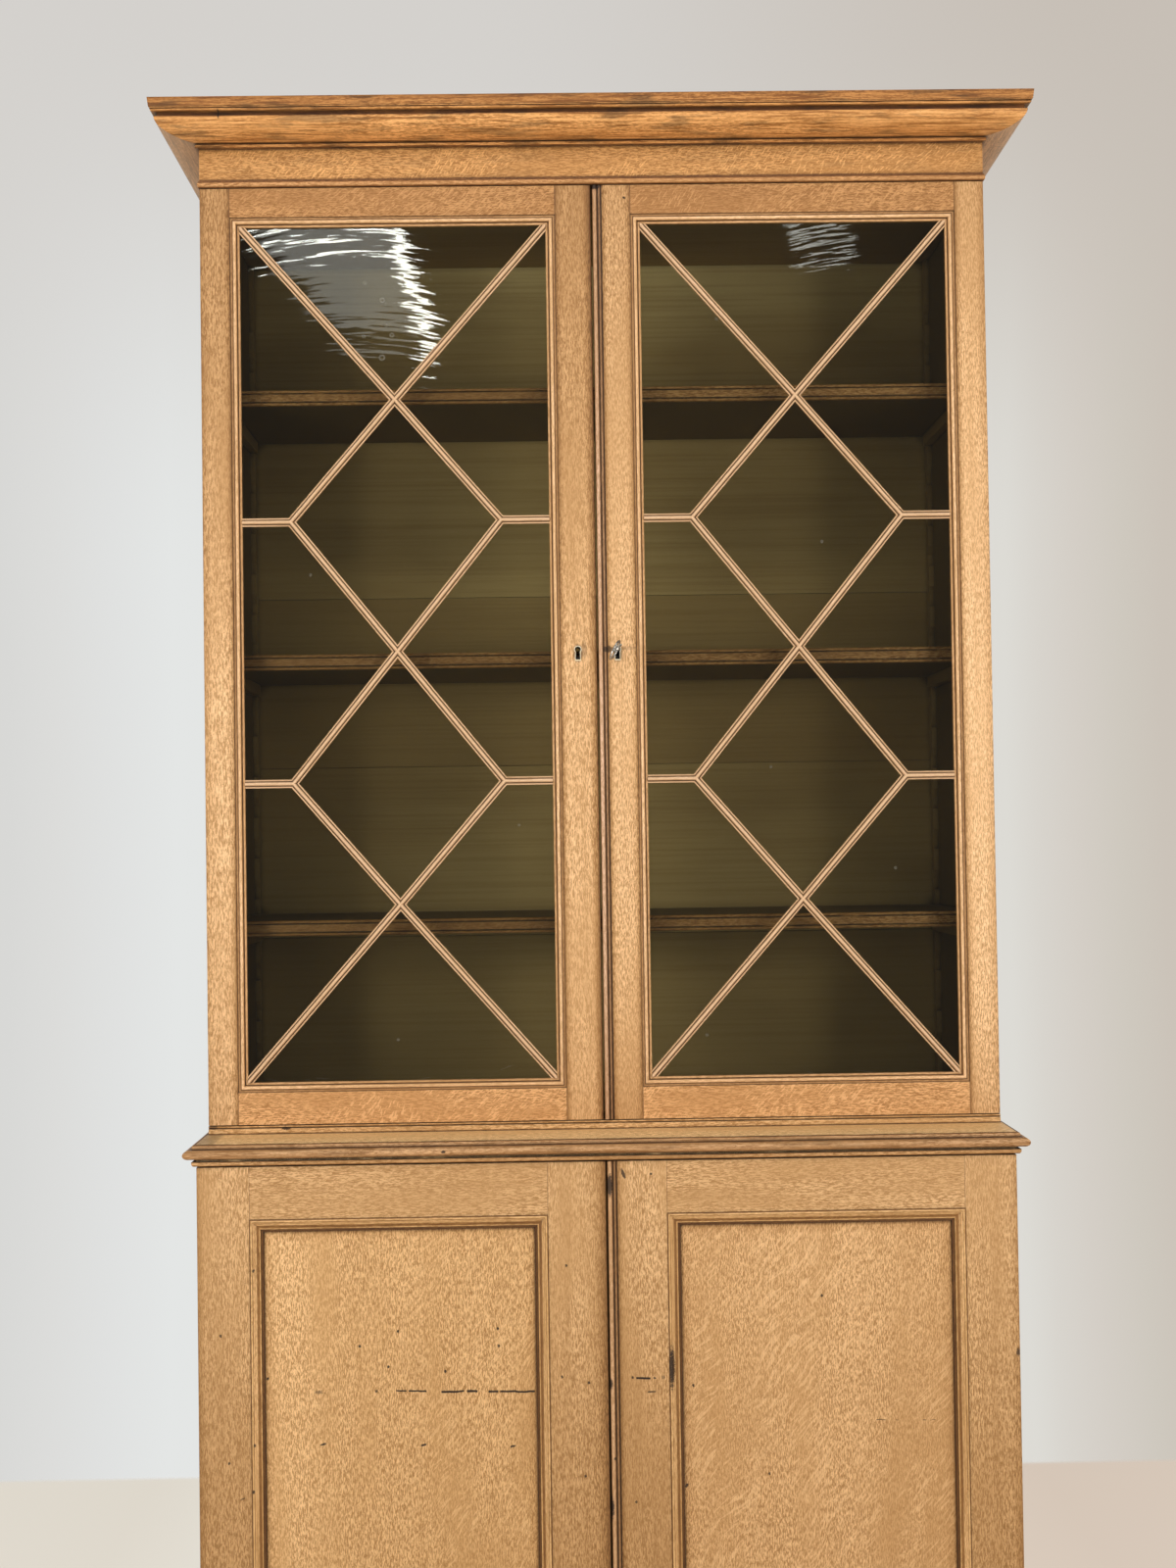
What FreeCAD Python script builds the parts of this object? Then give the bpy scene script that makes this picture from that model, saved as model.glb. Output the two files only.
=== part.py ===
import FreeCAD, Part
import math
import os

# Glazed display cabinet on a cupboard, in millimetres.
# The floor is Z = 0, the doors face -Y and +X is to the right of someone who looks at them.
# The origin lies on the floor under the middle of the whole cabinet.

os.makedirs("parts", exist_ok=True)
Vector = FreeCAD.Vector

# Overall sizes
upper_width = 1150.0
lower_case_stand = 2.0
upper_depth = 388.0
step_depth = 100.0
waist_board_underside = 853.5
upper_door_height = 1366.0

# Boards
side_thickness = 21.0
board_thickness = 22.0
waist_board_thickness = 24.0
back_board_thickness = 12.0
back_board_height = 275.0
lowest_back_board_height = 266.0
back_board_joint = 0.8
back_rebate_width = 9.0
dust_board_thickness = 12.0
rail_board_height = 38.5
front_rail_thickness = 21.0

# Doors
door_thickness = 22.0
door_gap = 0.8
seam_gap = 1.6
seam_offset = -1.5
tenon_length = 35.0
tenon_thickness = 7.0
tenon_shoulder = 7.0
door_edge_radius = 1.2
meeting_edge_radius = 3.0
closing_bead_width = 14.0
closing_bead_fillet = 2.8
closing_bead_fillet_sink = 0.5
closing_bead_quirk = 2.0
closing_bead_stand = 1.2
closing_bead_depth = 10.0

# Upper doors
upper_hinge_stile = 43.2
upper_meeting_stile = 53.1
upper_bead_side_stile = 41.7
upper_top_rail = 42.4
upper_bottom_rail = 46.3
door_top_clearance = 1.2
door_foot_clearance = 1.2

# Lower doors
lower_hinge_stile = 73.3
lower_meeting_stile = 82.3
lower_bead_side_stile = 69.5
lower_top_rail = 73.5
lower_bottom_rail = 95.0
lower_door_top_clearance = 2.0
lower_door_foot_clearance = 3.0
panel_thickness = 9.0
panel_sink = 10.5
panel_groove = 8.0
panel_moulding_width = 18.5
panel_moulding_stand = 1.8
panel_moulding_bead = 6.8
panel_moulding_fillet = 3.4
panel_moulding_hollow = 4.1

# Glazing
glass_moulding_width = 14.0
glass_moulding_sink = 1.7
glass_moulding_band = 4.4
glass_moulding_inset = 0.8
glass_moulding_fall = 3.8
glass_moulding_quirk_width = 1.2
glass_moulding_quirk_depth = 0.8
glass_moulding_fillet = 3.0
glass_depth = 9.0
glass_thickness = 2.2
glass_lap = 9.0
glass_clearance = 0.3
bar_width = 12.0
bar_bead_radius = 2.8
bar_fillet = 2.0
bar_fillet_depth = 4.6
bar_quirk_depth = 0.8
bar_tongue_thickness = 3.0
bar_tongue_depth = 9.0
crossing_share = 0.2044
node_height_share = 0.347
node_side_share = 0.157

# Cornice and frieze, measured out from the face and up
frieze_bead_height = 10.0
frieze_bead_stand = 3.0
frieze_bead_fillet = 2.0
frieze_fillet_stand = 1.5
frieze_height = 47.0
cornice_step_stand = 1.6
cornice_step_height = 1.4
cornice_fillet_stand = 5.0
cornice_fillet_height = 4.2
cornice_lower_quirk_height = 1.8
cornice_lower_quirk_depth = 2.5
cornice_ovolo_out = 51.0
cornice_ovolo_rise = 24.0
cornice_quirk_height = 6.5
cornice_quirk_depth = 4.0
cornice_bead_radius = 2.2
cornice_bead_setback = 3.5
cornice_top_fillet_height = 1.8
cornice_top_fillet_setback = 1.2
cornice_top_step = 1.5
cornice_top_height = 12.8
cornice_projection = 64.0

# Waist and base mouldings
bed_height = 6.5
bed_projection = 6.0
bed_fillet = 2.0
bed_band = 2.2
waist_quirk_height = 4.0
nosing_height = 13.0
nosing_projection = 17.0
nosing_round = 8.5
waist_bead_height = 6.4
waist_bead_projection = 5.0
waist_bead_round = 2.5
upper_base_band = 8.2
upper_base_quirk = 1.2
upper_base_bead = 2.9
upper_base_stand = 1.2
upper_base_round = 1.0
upper_base_quirk_depth = 2.4
plinth_height = 85.0
base_moulding_height = 62.0
base_moulding_stand = 12.0
base_moulding_fillet = 3.0
base_moulding_round = 9.0

# Shelves and what carries them
shelf_thickness = 23.0
shelf_setback = 60.0
shelf_end_clearance = 0.6
shelf_bead_radius = 2.4
shelf_quirk = 1.4
notch_pitch = 65.7
notch_depth = 9.0
notch_slope = 14.0
first_notch_height = 46.0
shelf_height_shares = (0.16, 0.475, 0.79)
strip_width = 22.0
strip_thickness = 8.0
strip_setback = 4.0
bearer_height = 18.0
bearer_thickness = 12.0
bearer_clearance = 0.5
lower_shelf_height = 465.0
lower_shelf_setback = 40.0

# Hinges
knuckle_radius = 3.0
hinge_pin_radius = 1.6
hinge_pin_clearance = 0.05
hinge_pin_offset = 0.5
hinge_length = 64.0
hinge_leaf_width = 17.0
hinge_leaf_thickness = 1.6
hinge_clearance = 0.4
knuckle_relief = 0.6
finial_height = 2.0
hinge_inset = 150.0
upper_hinge_count = 3
lower_hinge_inset = 95.0
lower_hinge_count = 2

# Lock, key and keeper
lock_height = 684.0
key_axis_inset = 28.2
lock_case_width = 46.0
lock_case_height = 40.0
lock_case_depth = 11.0
lock_wall = 1.5
lock_inset = 3.5
key_shank_radius = 2.2
key_collar_radius = 3.3
key_clearance = 0.05
key_bit_reach = 8.0
key_bit_thickness = 2.0
key_bit_length = 4.5
key_stand = 17.0
key_bow_length = 17.0
key_bow_width = 21.0
key_bow_thickness = 3.0
key_bow_wall = 3.2
key_rest_degrees = 45.0
bolt_height = 8.0
bolt_thickness = 4.0
bolt_lift = 4.5
bolt_clearance = 0.2
bolt_setback = 1.4
bolt_tail = 4.0
talon_half_width = 3.1
talon_depth = 4.8
keyhole_radius = 3.4
keyhole_slot_width = 3.4
keyhole_slot_drop = 11.0
escutcheon_radius = 5.5
escutcheon_foot_width = 8.4
escutcheon_drop = 16.5
escutcheon_depth = 3.0
keeper_width = 16.0
keeper_inset = 3.0
keeper_wall = 2.0

# Barrel bolts on the left upper door, keeper plates and ball catches
rod_radius = 2.6
rod_clearance = 0.06
rod_length = 82.0
rod_stand = 6.0
rod_rest_gap = 2.0
rod_throw = 12.0
rod_inset = 24.0
rod_hole_clearance = 1.6
guide_plate_width = 20.0
guide_plate_thickness = 2.0
guide_height = 8.0
guide_width = 12.0
guide_top_wall = 2.5
guide_end_margin = 6.0
bolt_knob_radius = 3.5
bolt_knob_length = 7.0
keeper_plate_size = 20.0
keeper_plate_thickness = 1.2
catch_inset = 28.0
catch_radius = 4.5
catch_length = 14.0
catch_ball_radius = 3.0
catch_ball_stand = 1.8
catch_dimple_clearance = 0.6

# How far cuts run past what they cut, how close two places count as one, and what draws a quarter round
overrun = 5.0
place_tolerance = 0.1
direction_tolerance_share = 0.05
quarter_share = 0.5523

# Places worked out from the sizes above
back_y = (upper_depth + step_depth + nosing_projection) / 2
upper_face_y = back_y - upper_depth
lower_face_y = upper_face_y - step_depth
upper_back_y = upper_face_y + door_thickness
lower_back_y = lower_face_y + door_thickness
upper_case_y = upper_back_y + door_gap
lower_case_y = lower_back_y + door_gap
inner_back_y = back_y - back_board_thickness
upper_half = upper_width / 2
lower_half = upper_half + lower_case_stand
upper_inner = upper_half - side_thickness
lower_inner = lower_half - side_thickness

waist_top = waist_board_underside + waist_board_thickness
bed_bottom = waist_board_underside - bed_height
lower_door_bottom = plinth_height + lower_door_foot_clearance
lower_door_top = bed_bottom - lower_door_top_clearance
upper_base_height = upper_base_band + upper_base_quirk + upper_base_bead
upper_door_bottom = waist_top + upper_base_height + door_foot_clearance
upper_door_top = upper_door_bottom + upper_door_height
frieze_bead_bottom = upper_door_top + door_top_clearance
frieze_bottom = frieze_bead_bottom + frieze_bead_height
cornice_bottom = frieze_bottom + frieze_height
cornice_foot = cornice_step_height + cornice_fillet_height + cornice_lower_quirk_height
cornice_height = (cornice_foot + cornice_ovolo_rise + cornice_quirk_height
                  + 2 * cornice_bead_radius + cornice_top_fillet_height + cornice_top_height)
cornice_top = cornice_bottom + cornice_height
dust_board_bottom = cornice_top - dust_board_thickness
upper_floor = waist_top + board_thickness
upper_ceiling = upper_door_top - board_thickness
lower_floor = lower_door_bottom + board_thickness / 2
shelf_front_y = upper_face_y + shelf_setback
first_notch = upper_floor + first_notch_height
notch_count = int((upper_ceiling - first_notch) / notch_pitch)
shelf_notches = [round(share * notch_count) for share in shelf_height_shares]
shelf_bottoms = [first_notch + number * notch_pitch + bearer_height for number in shelf_notches]

left_edge_x = seam_offset - seam_gap / 2
right_edge_x = seam_offset + seam_gap / 2
lock_z = upper_door_bottom + lock_height
key_x = right_edge_x + key_axis_inset
key_y = upper_back_y + lock_wall + bolt_clearance + bolt_thickness / 2
bolt_travel = 2 * key_bit_reach * math.sin(math.radians(key_rest_degrees))


def block(x, y, z):
    """A box between two places on each axis, in either order."""
    low = Vector(min(x), min(y), min(z))
    high = Vector(max(x), max(y), max(z))
    return Part.makeBox(high.x - low.x, high.y - low.y, high.z - low.z, low)


def prism(points, direction):
    """A straight prism on a flat outline of points."""
    wire = Part.makePolygon(list(points) + [points[0]])
    return Part.Face(wire).extrude(direction)


def rounded(solid, radius, chosen):
    """The solid with a round on each straight edge whose middle the test chosen accepts."""
    edges = [edge for edge in solid.Edges if chosen(edge.BoundBox.Center, edge.BoundBox)]
    return solid.makeFillet(radius, edges)


def join(first, *others):
    """One solid from several that overlap or touch."""
    return first.fuse(list(others)).removeSplitter()


def export(node, *shapes):
    """Writes one node from its solids."""
    solids = [solid for shape in shapes for solid in shape.Solids]
    whole = solids[0] if len(solids) == 1 else Part.makeCompound(solids)
    whole.exportStep("parts/" + node + ".step")
    box = whole.BoundBox
    print(f"{node:32s} {len(solids):3d} solids  x {box.XMin:.1f} to {box.XMax:.1f}"
          f"  y {box.YMin:.1f} to {box.YMax:.1f}  z {box.ZMin:.1f} to {box.ZMax:.1f}"
          f"  {'valid' if whole.isValid() else 'NOT VALID'}")


class Outline:
    """A moulding's section, drawn in two directions: out from the face and up along it."""

    def __init__(self, out, up):
        self.start = (out, up)
        self.here = self.start
        self.steps = []

    def line(self, out=0, up=0):
        """A straight step."""
        there = (self.here[0] + out, self.here[1] + up)
        self.steps.append((self.here, there))
        self.here = there
        return self

    def round(self, out, up, first):
        """A quarter round that sets off along the direction named first."""
        there = (self.here[0] + out, self.here[1] + up)
        corner = (there[0], self.here[1]) if first == "out" else (self.here[0], there[1])
        near = tuple(a + (c - a) * quarter_share for a, c in zip(self.here, corner))
        far = tuple(b + (c - b) * quarter_share for b, c in zip(there, corner))
        self.steps.append((self.here, near, far, there))
        self.here = there
        return self

    def face(self, place):
        """The closed outline as a face, where place turns (out, up) into a point."""
        edges = []
        for step in self.steps + [(self.here, self.start)]:
            points = [place(*point) for point in step]
            if points[0].distanceToPoint(points[-1]) < Part.Precision.confusion():
                continue
            if len(points) == 2:
                edges.append(Part.makeLine(*points))
            else:
                curve = Part.BezierCurve()
                curve.setPoles(points)
                edges.append(curve.toShape())
        return Part.Face(Part.Wire(edges))

    def reach(self):
        """How far the outline stands out at most."""
        return max(point[0] for step in self.steps for point in step)

    def height(self):
        """How far up the outline reaches."""
        return max(point[1] for step in self.steps for point in step)


def front_and_returns(outline, half_width, face_y, bottom_z):
    """One moulding across the front and back along both sides, mitred at the front corners."""
    out = outline.reach()
    up = Vector(0, 0, outline.height() + 2 * overrun)
    low = bottom_z - overrun
    front_plan = [Vector(-half_width - out, face_y - out, low), Vector(half_width + out, face_y - out, low),
                  Vector(half_width, face_y, low), Vector(-half_width, face_y, low)]
    start_x = -half_width - out
    front_face = outline.face(lambda u, z: Vector(start_x, face_y - u, bottom_z + z))
    front = front_face.extrude(Vector(-2 * start_x, 0, 0))
    lengths = [front.common(prism(front_plan, up))]
    for side in (-1, 1):
        start_y = face_y - out
        side_face = outline.face(lambda u, z: Vector(side * (half_width + u), start_y, bottom_z + z))
        run = side_face.extrude(Vector(0, back_y - start_y, 0))
        side_plan = [Vector(side * (half_width + out), start_y, low), Vector(side * half_width, face_y, low),
                     Vector(side * half_width, back_y, low), Vector(side * (half_width + out), back_y, low)]
        lengths.append(run.common(prism(side_plan, up)))
    return lengths


def frame_lengths(outline, x, z, face_y):
    """Four mitred lengths of moulding inside an opening, where out is into the opening and up is inwards."""
    left, right = min(x), max(x)
    bottom, top = min(z), max(z)
    inset = outline.reach()
    through = Vector(0, outline.height() + 2 * overrun, 0)
    outer = [Vector(left, face_y - overrun, bottom), Vector(right, face_y - overrun, bottom),
             Vector(right, face_y - overrun, top), Vector(left, face_y - overrun, top)]
    shifts = [Vector(inset, 0, inset), Vector(-inset, 0, inset),
              Vector(-inset, 0, -inset), Vector(inset, 0, -inset)]
    inner = [corner.add(shift) for corner, shift in zip(outer, shifts)]
    places = [lambda u, d: Vector(left, face_y + d, bottom + u),
              lambda u, d: Vector(right - u, face_y + d, bottom),
              lambda u, d: Vector(right, face_y + d, top - u),
              lambda u, d: Vector(left + u, face_y + d, top)]
    lengths = []
    for side in range(4):
        after = (side + 1) % 4
        run = outline.face(places[side]).extrude(outer[after].sub(outer[side]))
        mitre = prism([outer[side], outer[after], inner[after], inner[side]], through)
        lengths.append(run.common(mitre))
    return lengths


class Door:
    """Where one door stands and how its frame divides it."""

    def __init__(self, name, side, half_width, face_y, bottom, top):
        self.name = name
        self.side = side
        self.face_y = face_y
        self.back_y = face_y + door_thickness
        self.bottom = bottom
        self.top = top
        self.outer = side * half_width
        self.edge = left_edge_x if side < 0 else right_edge_x
        self.has_bead = side > 0
        self.stile_edge = self.edge + (closing_bead_width if self.has_bead else 0)
        self.hinge_x = side * (half_width + hinge_pin_offset)
        self.hinge_y = self.back_y + door_gap / 2

    def frame(self, hinge_stile, meeting_stile, bottom_rail, top_rail):
        """Two full-length stiles and two tenoned rails, and the opening between them."""
        self.opening_x = (self.outer - self.side * hinge_stile, self.stile_edge + self.side * meeting_stile)
        self.opening_z = (self.bottom + bottom_rail, self.top - top_rail)
        depth = (self.face_y, self.back_y)
        hinge = block((self.outer, self.opening_x[0]), depth, (self.bottom, self.top))
        meeting = block((self.stile_edge, self.opening_x[1]), depth, (self.bottom, self.top))
        rails = [self.rail((self.bottom, self.opening_z[0])), self.rail((self.opening_z[1], self.top))]
        stiles = [self.eased(hinge, self.outer, door_edge_radius), meeting]
        if not self.has_bead:
            stiles[1] = self.eased(meeting, self.edge, meeting_edge_radius)
        return [stile.cut(rails) for stile in stiles], rails

    def eased(self, stile, at_x, radius):
        """The stile with its front edge rounded at one side."""
        return rounded(stile, radius, lambda middle, box: abs(middle.x - at_x) < place_tolerance
                       and abs(middle.y - self.face_y) < place_tolerance and box.ZLength > door_thickness)

    def rail(self, z):
        """A rail with a tenon at each end."""
        body = block(self.opening_x, (self.face_y, self.back_y), z)
        reach = (min(self.opening_x) - tenon_length, max(self.opening_x) + tenon_length)
        middle_y = self.face_y + door_thickness / 2
        tenon = block(reach, (middle_y - tenon_thickness / 2, middle_y + tenon_thickness / 2),
                      (min(z) + tenon_shoulder, max(z) - tenon_shoulder))
        return join(body, tenon)

    def closing_bead(self):
        """The beaded strip along the meeting edge: a half-round bead, a quirk, a fillet and a second quirk."""
        bead = closing_bead_width - closing_bead_fillet - 2 * closing_bead_quirk
        quirk_below_fillet = closing_bead_quirk - closing_bead_fillet_sink
        section = Outline(0, closing_bead_quirk)
        section.line(up=closing_bead_depth - closing_bead_quirk)
        section.line(out=closing_bead_width)
        section.line(up=-(closing_bead_depth - closing_bead_quirk))
        section.line(out=-closing_bead_quirk)
        section.line(up=-quirk_below_fillet)
        section.line(out=-closing_bead_fillet)
        section.line(up=quirk_below_fillet)
        section.line(out=-closing_bead_quirk)
        section.round(-bead / 2, -(closing_bead_quirk + closing_bead_stand), "up")
        section.round(-bead / 2, closing_bead_quirk + closing_bead_stand, "out")
        face = section.face(lambda u, d: Vector(self.edge + u, self.face_y + d, self.bottom))
        strip = face.extrude(Vector(0, 0, self.top - self.bottom))
        backing = block((self.edge, self.stile_edge), (self.face_y + closing_bead_depth, self.back_y),
                        (self.bottom, self.top))
        return join(strip, backing)

    def hinges(self, heights):
        """The hinges of this door at the given heights."""
        return [Hinge(self, height) for height in heights]


class Hinge:
    """A butt hinge whose leaves are let in flush, with three knuckles on a pin."""

    def __init__(self, door, middle_z):
        self.door = door
        self.bottom = middle_z - hinge_length / 2
        self.top = middle_z + hinge_length / 2
        self.case_y = door.back_y + door_gap
        self.knuckle_height = (hinge_length - 2 * hinge_clearance) / 3

    def rod(self, radius, bottom, top):
        """A round bar on the hinge's axis."""
        return Part.makeCylinder(radius, top - bottom, Vector(self.door.hinge_x, self.door.hinge_y, bottom))

    def plate(self, y, bottom, top, start):
        """A flat piece of leaf that starts a given distance from the axis."""
        side = self.door.side
        return block((self.door.hinge_x - side * start, self.door.hinge_x - side * hinge_leaf_width), y,
                     (bottom, top))

    def leaf(self, y, knuckles):
        """A leaf with its knuckles, bored for the pin."""
        start = knuckle_radius + hinge_clearance
        pieces = [self.plate(y, self.bottom, self.top, start)]
        for number in knuckles:
            bottom = self.bottom + number * (self.knuckle_height + hinge_clearance)
            pieces.append(self.plate(y, bottom, bottom + self.knuckle_height, 0))
            pieces.append(self.rod(knuckle_radius, bottom, bottom + self.knuckle_height))
        bore = self.rod(hinge_pin_radius + hinge_pin_clearance, self.bottom - overrun, self.top + overrun)
        return join(*pieces).cut(bore)

    def case_leaf(self):
        return self.leaf((self.case_y, self.case_y + hinge_leaf_thickness), (0, 2))

    def door_leaf(self):
        return self.leaf((self.door.back_y - hinge_leaf_thickness, self.door.back_y), (1,))

    def pin(self):
        """The pin with a small finial at each end."""
        return join(self.rod(hinge_pin_radius, self.bottom, self.top),
                    self.rod(knuckle_radius, self.bottom - finial_height, self.bottom),
                    self.rod(knuckle_radius, self.top, self.top + finial_height))

    def room(self):
        """The round relief in the wood for the knuckles and finials."""
        extra = finial_height + hinge_clearance
        return self.rod(knuckle_radius + knuckle_relief, self.bottom - extra, self.top + extra)

    def case_recess(self):
        y = (self.case_y - overrun, self.case_y + hinge_leaf_thickness)
        return [self.room(), self.plate(y, self.bottom, self.top, 0)]

    def door_recess(self):
        y = (self.door.back_y - hinge_leaf_thickness, self.door.back_y + overrun)
        return [self.room(), self.plate(y, self.bottom, self.top, 0)]


def glass_moulding_outline():
    """Section of the moulding round the glass: a sunk band, a round bead, a quirk and a fillet at the glass."""
    inner_members = glass_moulding_quirk_width + glass_moulding_fillet
    bead_radius = (glass_moulding_width - glass_moulding_band - inner_members) / 2
    section = Outline(0, glass_moulding_sink)
    section.line(out=glass_moulding_band)
    section.round(bead_radius, glass_moulding_inset - glass_moulding_sink, "up")
    section.round(bead_radius, glass_moulding_fall, "out")
    section.line(up=glass_moulding_quirk_depth)
    section.line(out=glass_moulding_quirk_width)
    section.line(up=-glass_moulding_quirk_depth)
    section.line(out=glass_moulding_fillet)
    section.line(up=glass_depth - glass_moulding_inset - glass_moulding_fall)
    section.line(out=-glass_moulding_width)
    return section


def bar_outline():
    """Section of a glazing bar: a round bead between quirks and fillets, and a tongue between the panes behind."""
    half = bar_width / 2
    quirk = half - bar_fillet - bar_bead_radius
    bead_rise = bar_fillet_depth + bar_quirk_depth - glass_moulding_inset
    section = Outline(-half, glass_depth)
    section.line(up=bar_fillet_depth - glass_depth)
    section.line(out=bar_fillet)
    section.line(up=bar_quirk_depth)
    section.line(out=quirk)
    section.round(bar_bead_radius, -bead_rise, "up")
    section.round(bar_bead_radius, bead_rise, "out")
    section.line(out=quirk)
    section.line(up=-bar_quirk_depth)
    section.line(out=bar_fillet)
    section.line(up=glass_depth - bar_fillet_depth)
    section.line(out=(bar_tongue_thickness - bar_width) / 2)
    section.line(up=bar_tongue_depth)
    section.line(out=-bar_tongue_thickness)
    section.line(up=-bar_tongue_depth)
    return section


def panel_moulding_outline():
    """Section of a panel's moulding: a bead proud of the frame, a hollow and a fillet on the panel."""
    hollow_width = panel_moulding_width - panel_moulding_bead - panel_moulding_fillet
    section = Outline(0, 0)
    section.round(panel_moulding_bead / 2, -panel_moulding_stand, "up")
    section.round(panel_moulding_bead / 2, 2 * panel_moulding_stand, "out")
    section.round(hollow_width, panel_moulding_hollow, "up")
    section.line(up=panel_moulding_stand)
    section.line(out=panel_moulding_fillet)
    section.line(up=panel_sink - panel_moulding_hollow - 2 * panel_moulding_stand)
    section.line(out=-panel_moulding_width)
    return section


class Lattice:
    """The glazing pattern of one door: its nodes, the bars between them and the panes."""

    def __init__(self, door):
        self.face_y = door.face_y
        self.left = min(door.opening_x) + glass_moulding_width
        self.right = max(door.opening_x) - glass_moulding_width
        self.bottom = door.opening_z[0] + glass_moulding_width
        self.top = door.opening_z[1] - glass_moulding_width
        self.bars = self.lay_out()

    def point(self, across_share, down_share):
        return Vector(self.left + across_share * (self.right - self.left), 0,
                      self.top - down_share * (self.top - self.bottom))

    def lay_out(self):
        """The straight bars, as pairs of points on the middle lines."""
        middle_share = 1 / 2
        crossings = [self.point(middle_share, crossing_share), self.point(middle_share, middle_share),
                     self.point(middle_share, 1 - crossing_share)]
        bars = []
        for across_share, rim_share in ((node_side_share, 0), (1 - node_side_share, 1)):
            high = self.point(across_share, node_height_share)
            low = self.point(across_share, 1 - node_height_share)
            bars += [(self.point(rim_share, 0), crossings[0]), (crossings[0], high), (high, crossings[1]),
                     (crossings[1], low), (low, crossings[2]), (crossings[2], self.point(rim_share, 1)),
                     (high, self.point(rim_share, node_height_share)),
                     (low, self.point(rim_share, 1 - node_height_share))]
        return bars

    def directions_at(self, node):
        """The directions in which bars leave a node."""
        leaving = [end.sub(start) for start, end in self.bars if start.isEqual(node, place_tolerance)]
        leaving += [start.sub(end) for start, end in self.bars if end.isEqual(node, place_tolerance)]
        return [heading.normalize() for heading in leaving]

    def mitre(self, node, direction):
        """The wedge between the half-way lines to the next bars on both sides, or nothing at a rim."""
        heading = math.atan2(direction.z, direction.x)
        turns = [(math.atan2(other.z, other.x) - heading) % (2 * math.pi)
                 for other in self.directions_at(node)
                 if not other.isEqual(direction, direction_tolerance_share)]
        if not turns:
            return None
        reach = self.top - self.bottom
        angles = [heading + (max(turns) - 2 * math.pi) / 2, heading, heading + min(turns) / 2]
        start = Vector(node.x, self.face_y - overrun, node.z)
        rim = [start.add(Vector(reach * math.cos(angle), 0, reach * math.sin(angle))) for angle in angles]
        return prism([start] + rim, Vector(0, glass_depth + bar_tongue_depth + 2 * overrun, 0))

    def bar(self, start, end, outline):
        """One bar, cut by the mitres at its ends and by the rim of the glass."""
        along = end.sub(start).normalize()
        across = Vector(-along.z, 0, along.x)
        begin = start.sub(Vector(along).multiply(bar_width))
        place = lambda u, d: begin.add(Vector(across).multiply(u)).add(Vector(0, self.face_y + d, 0))
        length = end.sub(start).Length + 2 * bar_width
        run = outline.face(place).extrude(Vector(along).multiply(length))
        rim = block((self.left, self.right), (self.face_y - overrun, self.face_y + door_thickness),
                    (self.bottom, self.top))
        run = run.common(rim)
        for node, heading in ((start, along), (end, Vector(along).negative())):
            wedge = self.mitre(node, heading)
            if wedge:
                run = run.common(wedge)
        return run

    def bar_solids(self):
        section = bar_outline()
        return [self.bar(start, end, section) for start, end in self.bars]

    def panes(self):
        """Ten panes: one sheet parted along the bars' tongues."""
        sheet = block((self.left - glass_lap, self.right + glass_lap),
                      (self.face_y + glass_depth, self.face_y + glass_depth + glass_thickness),
                      (self.bottom - glass_lap, self.top + glass_lap))
        half = bar_tongue_thickness / 2 + glass_clearance
        slot = Outline(-half, 0).line(up=door_thickness).line(out=2 * half).line(up=-door_thickness)
        cuts = []
        for start, end in self.bars:
            along = end.sub(start).normalize()
            across = Vector(-along.z, 0, along.x)
            longer = Vector(along).multiply(2 * (glass_lap + overrun))
            begin = start.sub(longer) if not self.mitre(start, along) else start
            finish = end.add(longer) if not self.mitre(end, Vector(along).negative()) else end
            place = lambda u, d: begin.add(Vector(across).multiply(u)).add(Vector(0, self.face_y + d, 0))
            cuts.append(slot.face(place).extrude(finish.sub(begin)))
        return sheet.cut(cuts).Solids


def keyhole(x, z, radius, width, drop, y):
    """A keyhole's shape: a round with a slot below it."""
    tall = max(y) - min(y)
    disc = Part.makeCylinder(radius, tall, Vector(x, min(y), z), Vector(0, 1, 0))
    return join(disc, block((x - width / 2, x + width / 2), y, (z - drop, z)))


def escutcheon(x):
    """A brass keyhole lining let into the stile, and the shape that it fills."""
    y = (upper_face_y, upper_face_y + escutcheon_depth)
    whole = keyhole(x, lock_z, escutcheon_radius, escutcheon_foot_width, escutcheon_drop, y)
    through = (upper_face_y - overrun, upper_back_y + overrun)
    hole = keyhole(x, lock_z, keyhole_radius, keyhole_slot_width, keyhole_slot_drop, through)
    return whole.cut(hole), whole, hole


def lock_case():
    """The lock's hollow case on the back of the right door, open for the key and for the bolt."""
    left = right_edge_x + lock_inset
    x = (left, left + lock_case_width)
    z = (lock_z - lock_case_height / 2, lock_z + lock_case_height / 2)
    y = (upper_back_y, upper_back_y + lock_case_depth)
    whole = block(x, y, z)
    hollow = block((x[0] + lock_wall, x[1] - lock_wall), (y[0] + lock_wall, y[1] - lock_wall),
                   (z[0] + lock_wall, z[1] - lock_wall))
    slot = block((x[0] - overrun, x[0] + lock_wall + overrun),
                 (key_y - bolt_thickness / 2 - bolt_clearance, key_y + bolt_thickness / 2 + bolt_clearance),
                 (lock_z + bolt_lift - bolt_clearance, lock_z + bolt_lift + bolt_height + bolt_clearance))
    hole = keyhole(key_x, lock_z, key_shank_radius + key_clearance, key_bit_thickness + 2 * bolt_clearance,
                   key_bit_reach + bolt_clearance, (y[0] - overrun, y[0] + lock_wall + bolt_clearance))
    return whole.cut([hollow, slot, hole])


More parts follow.
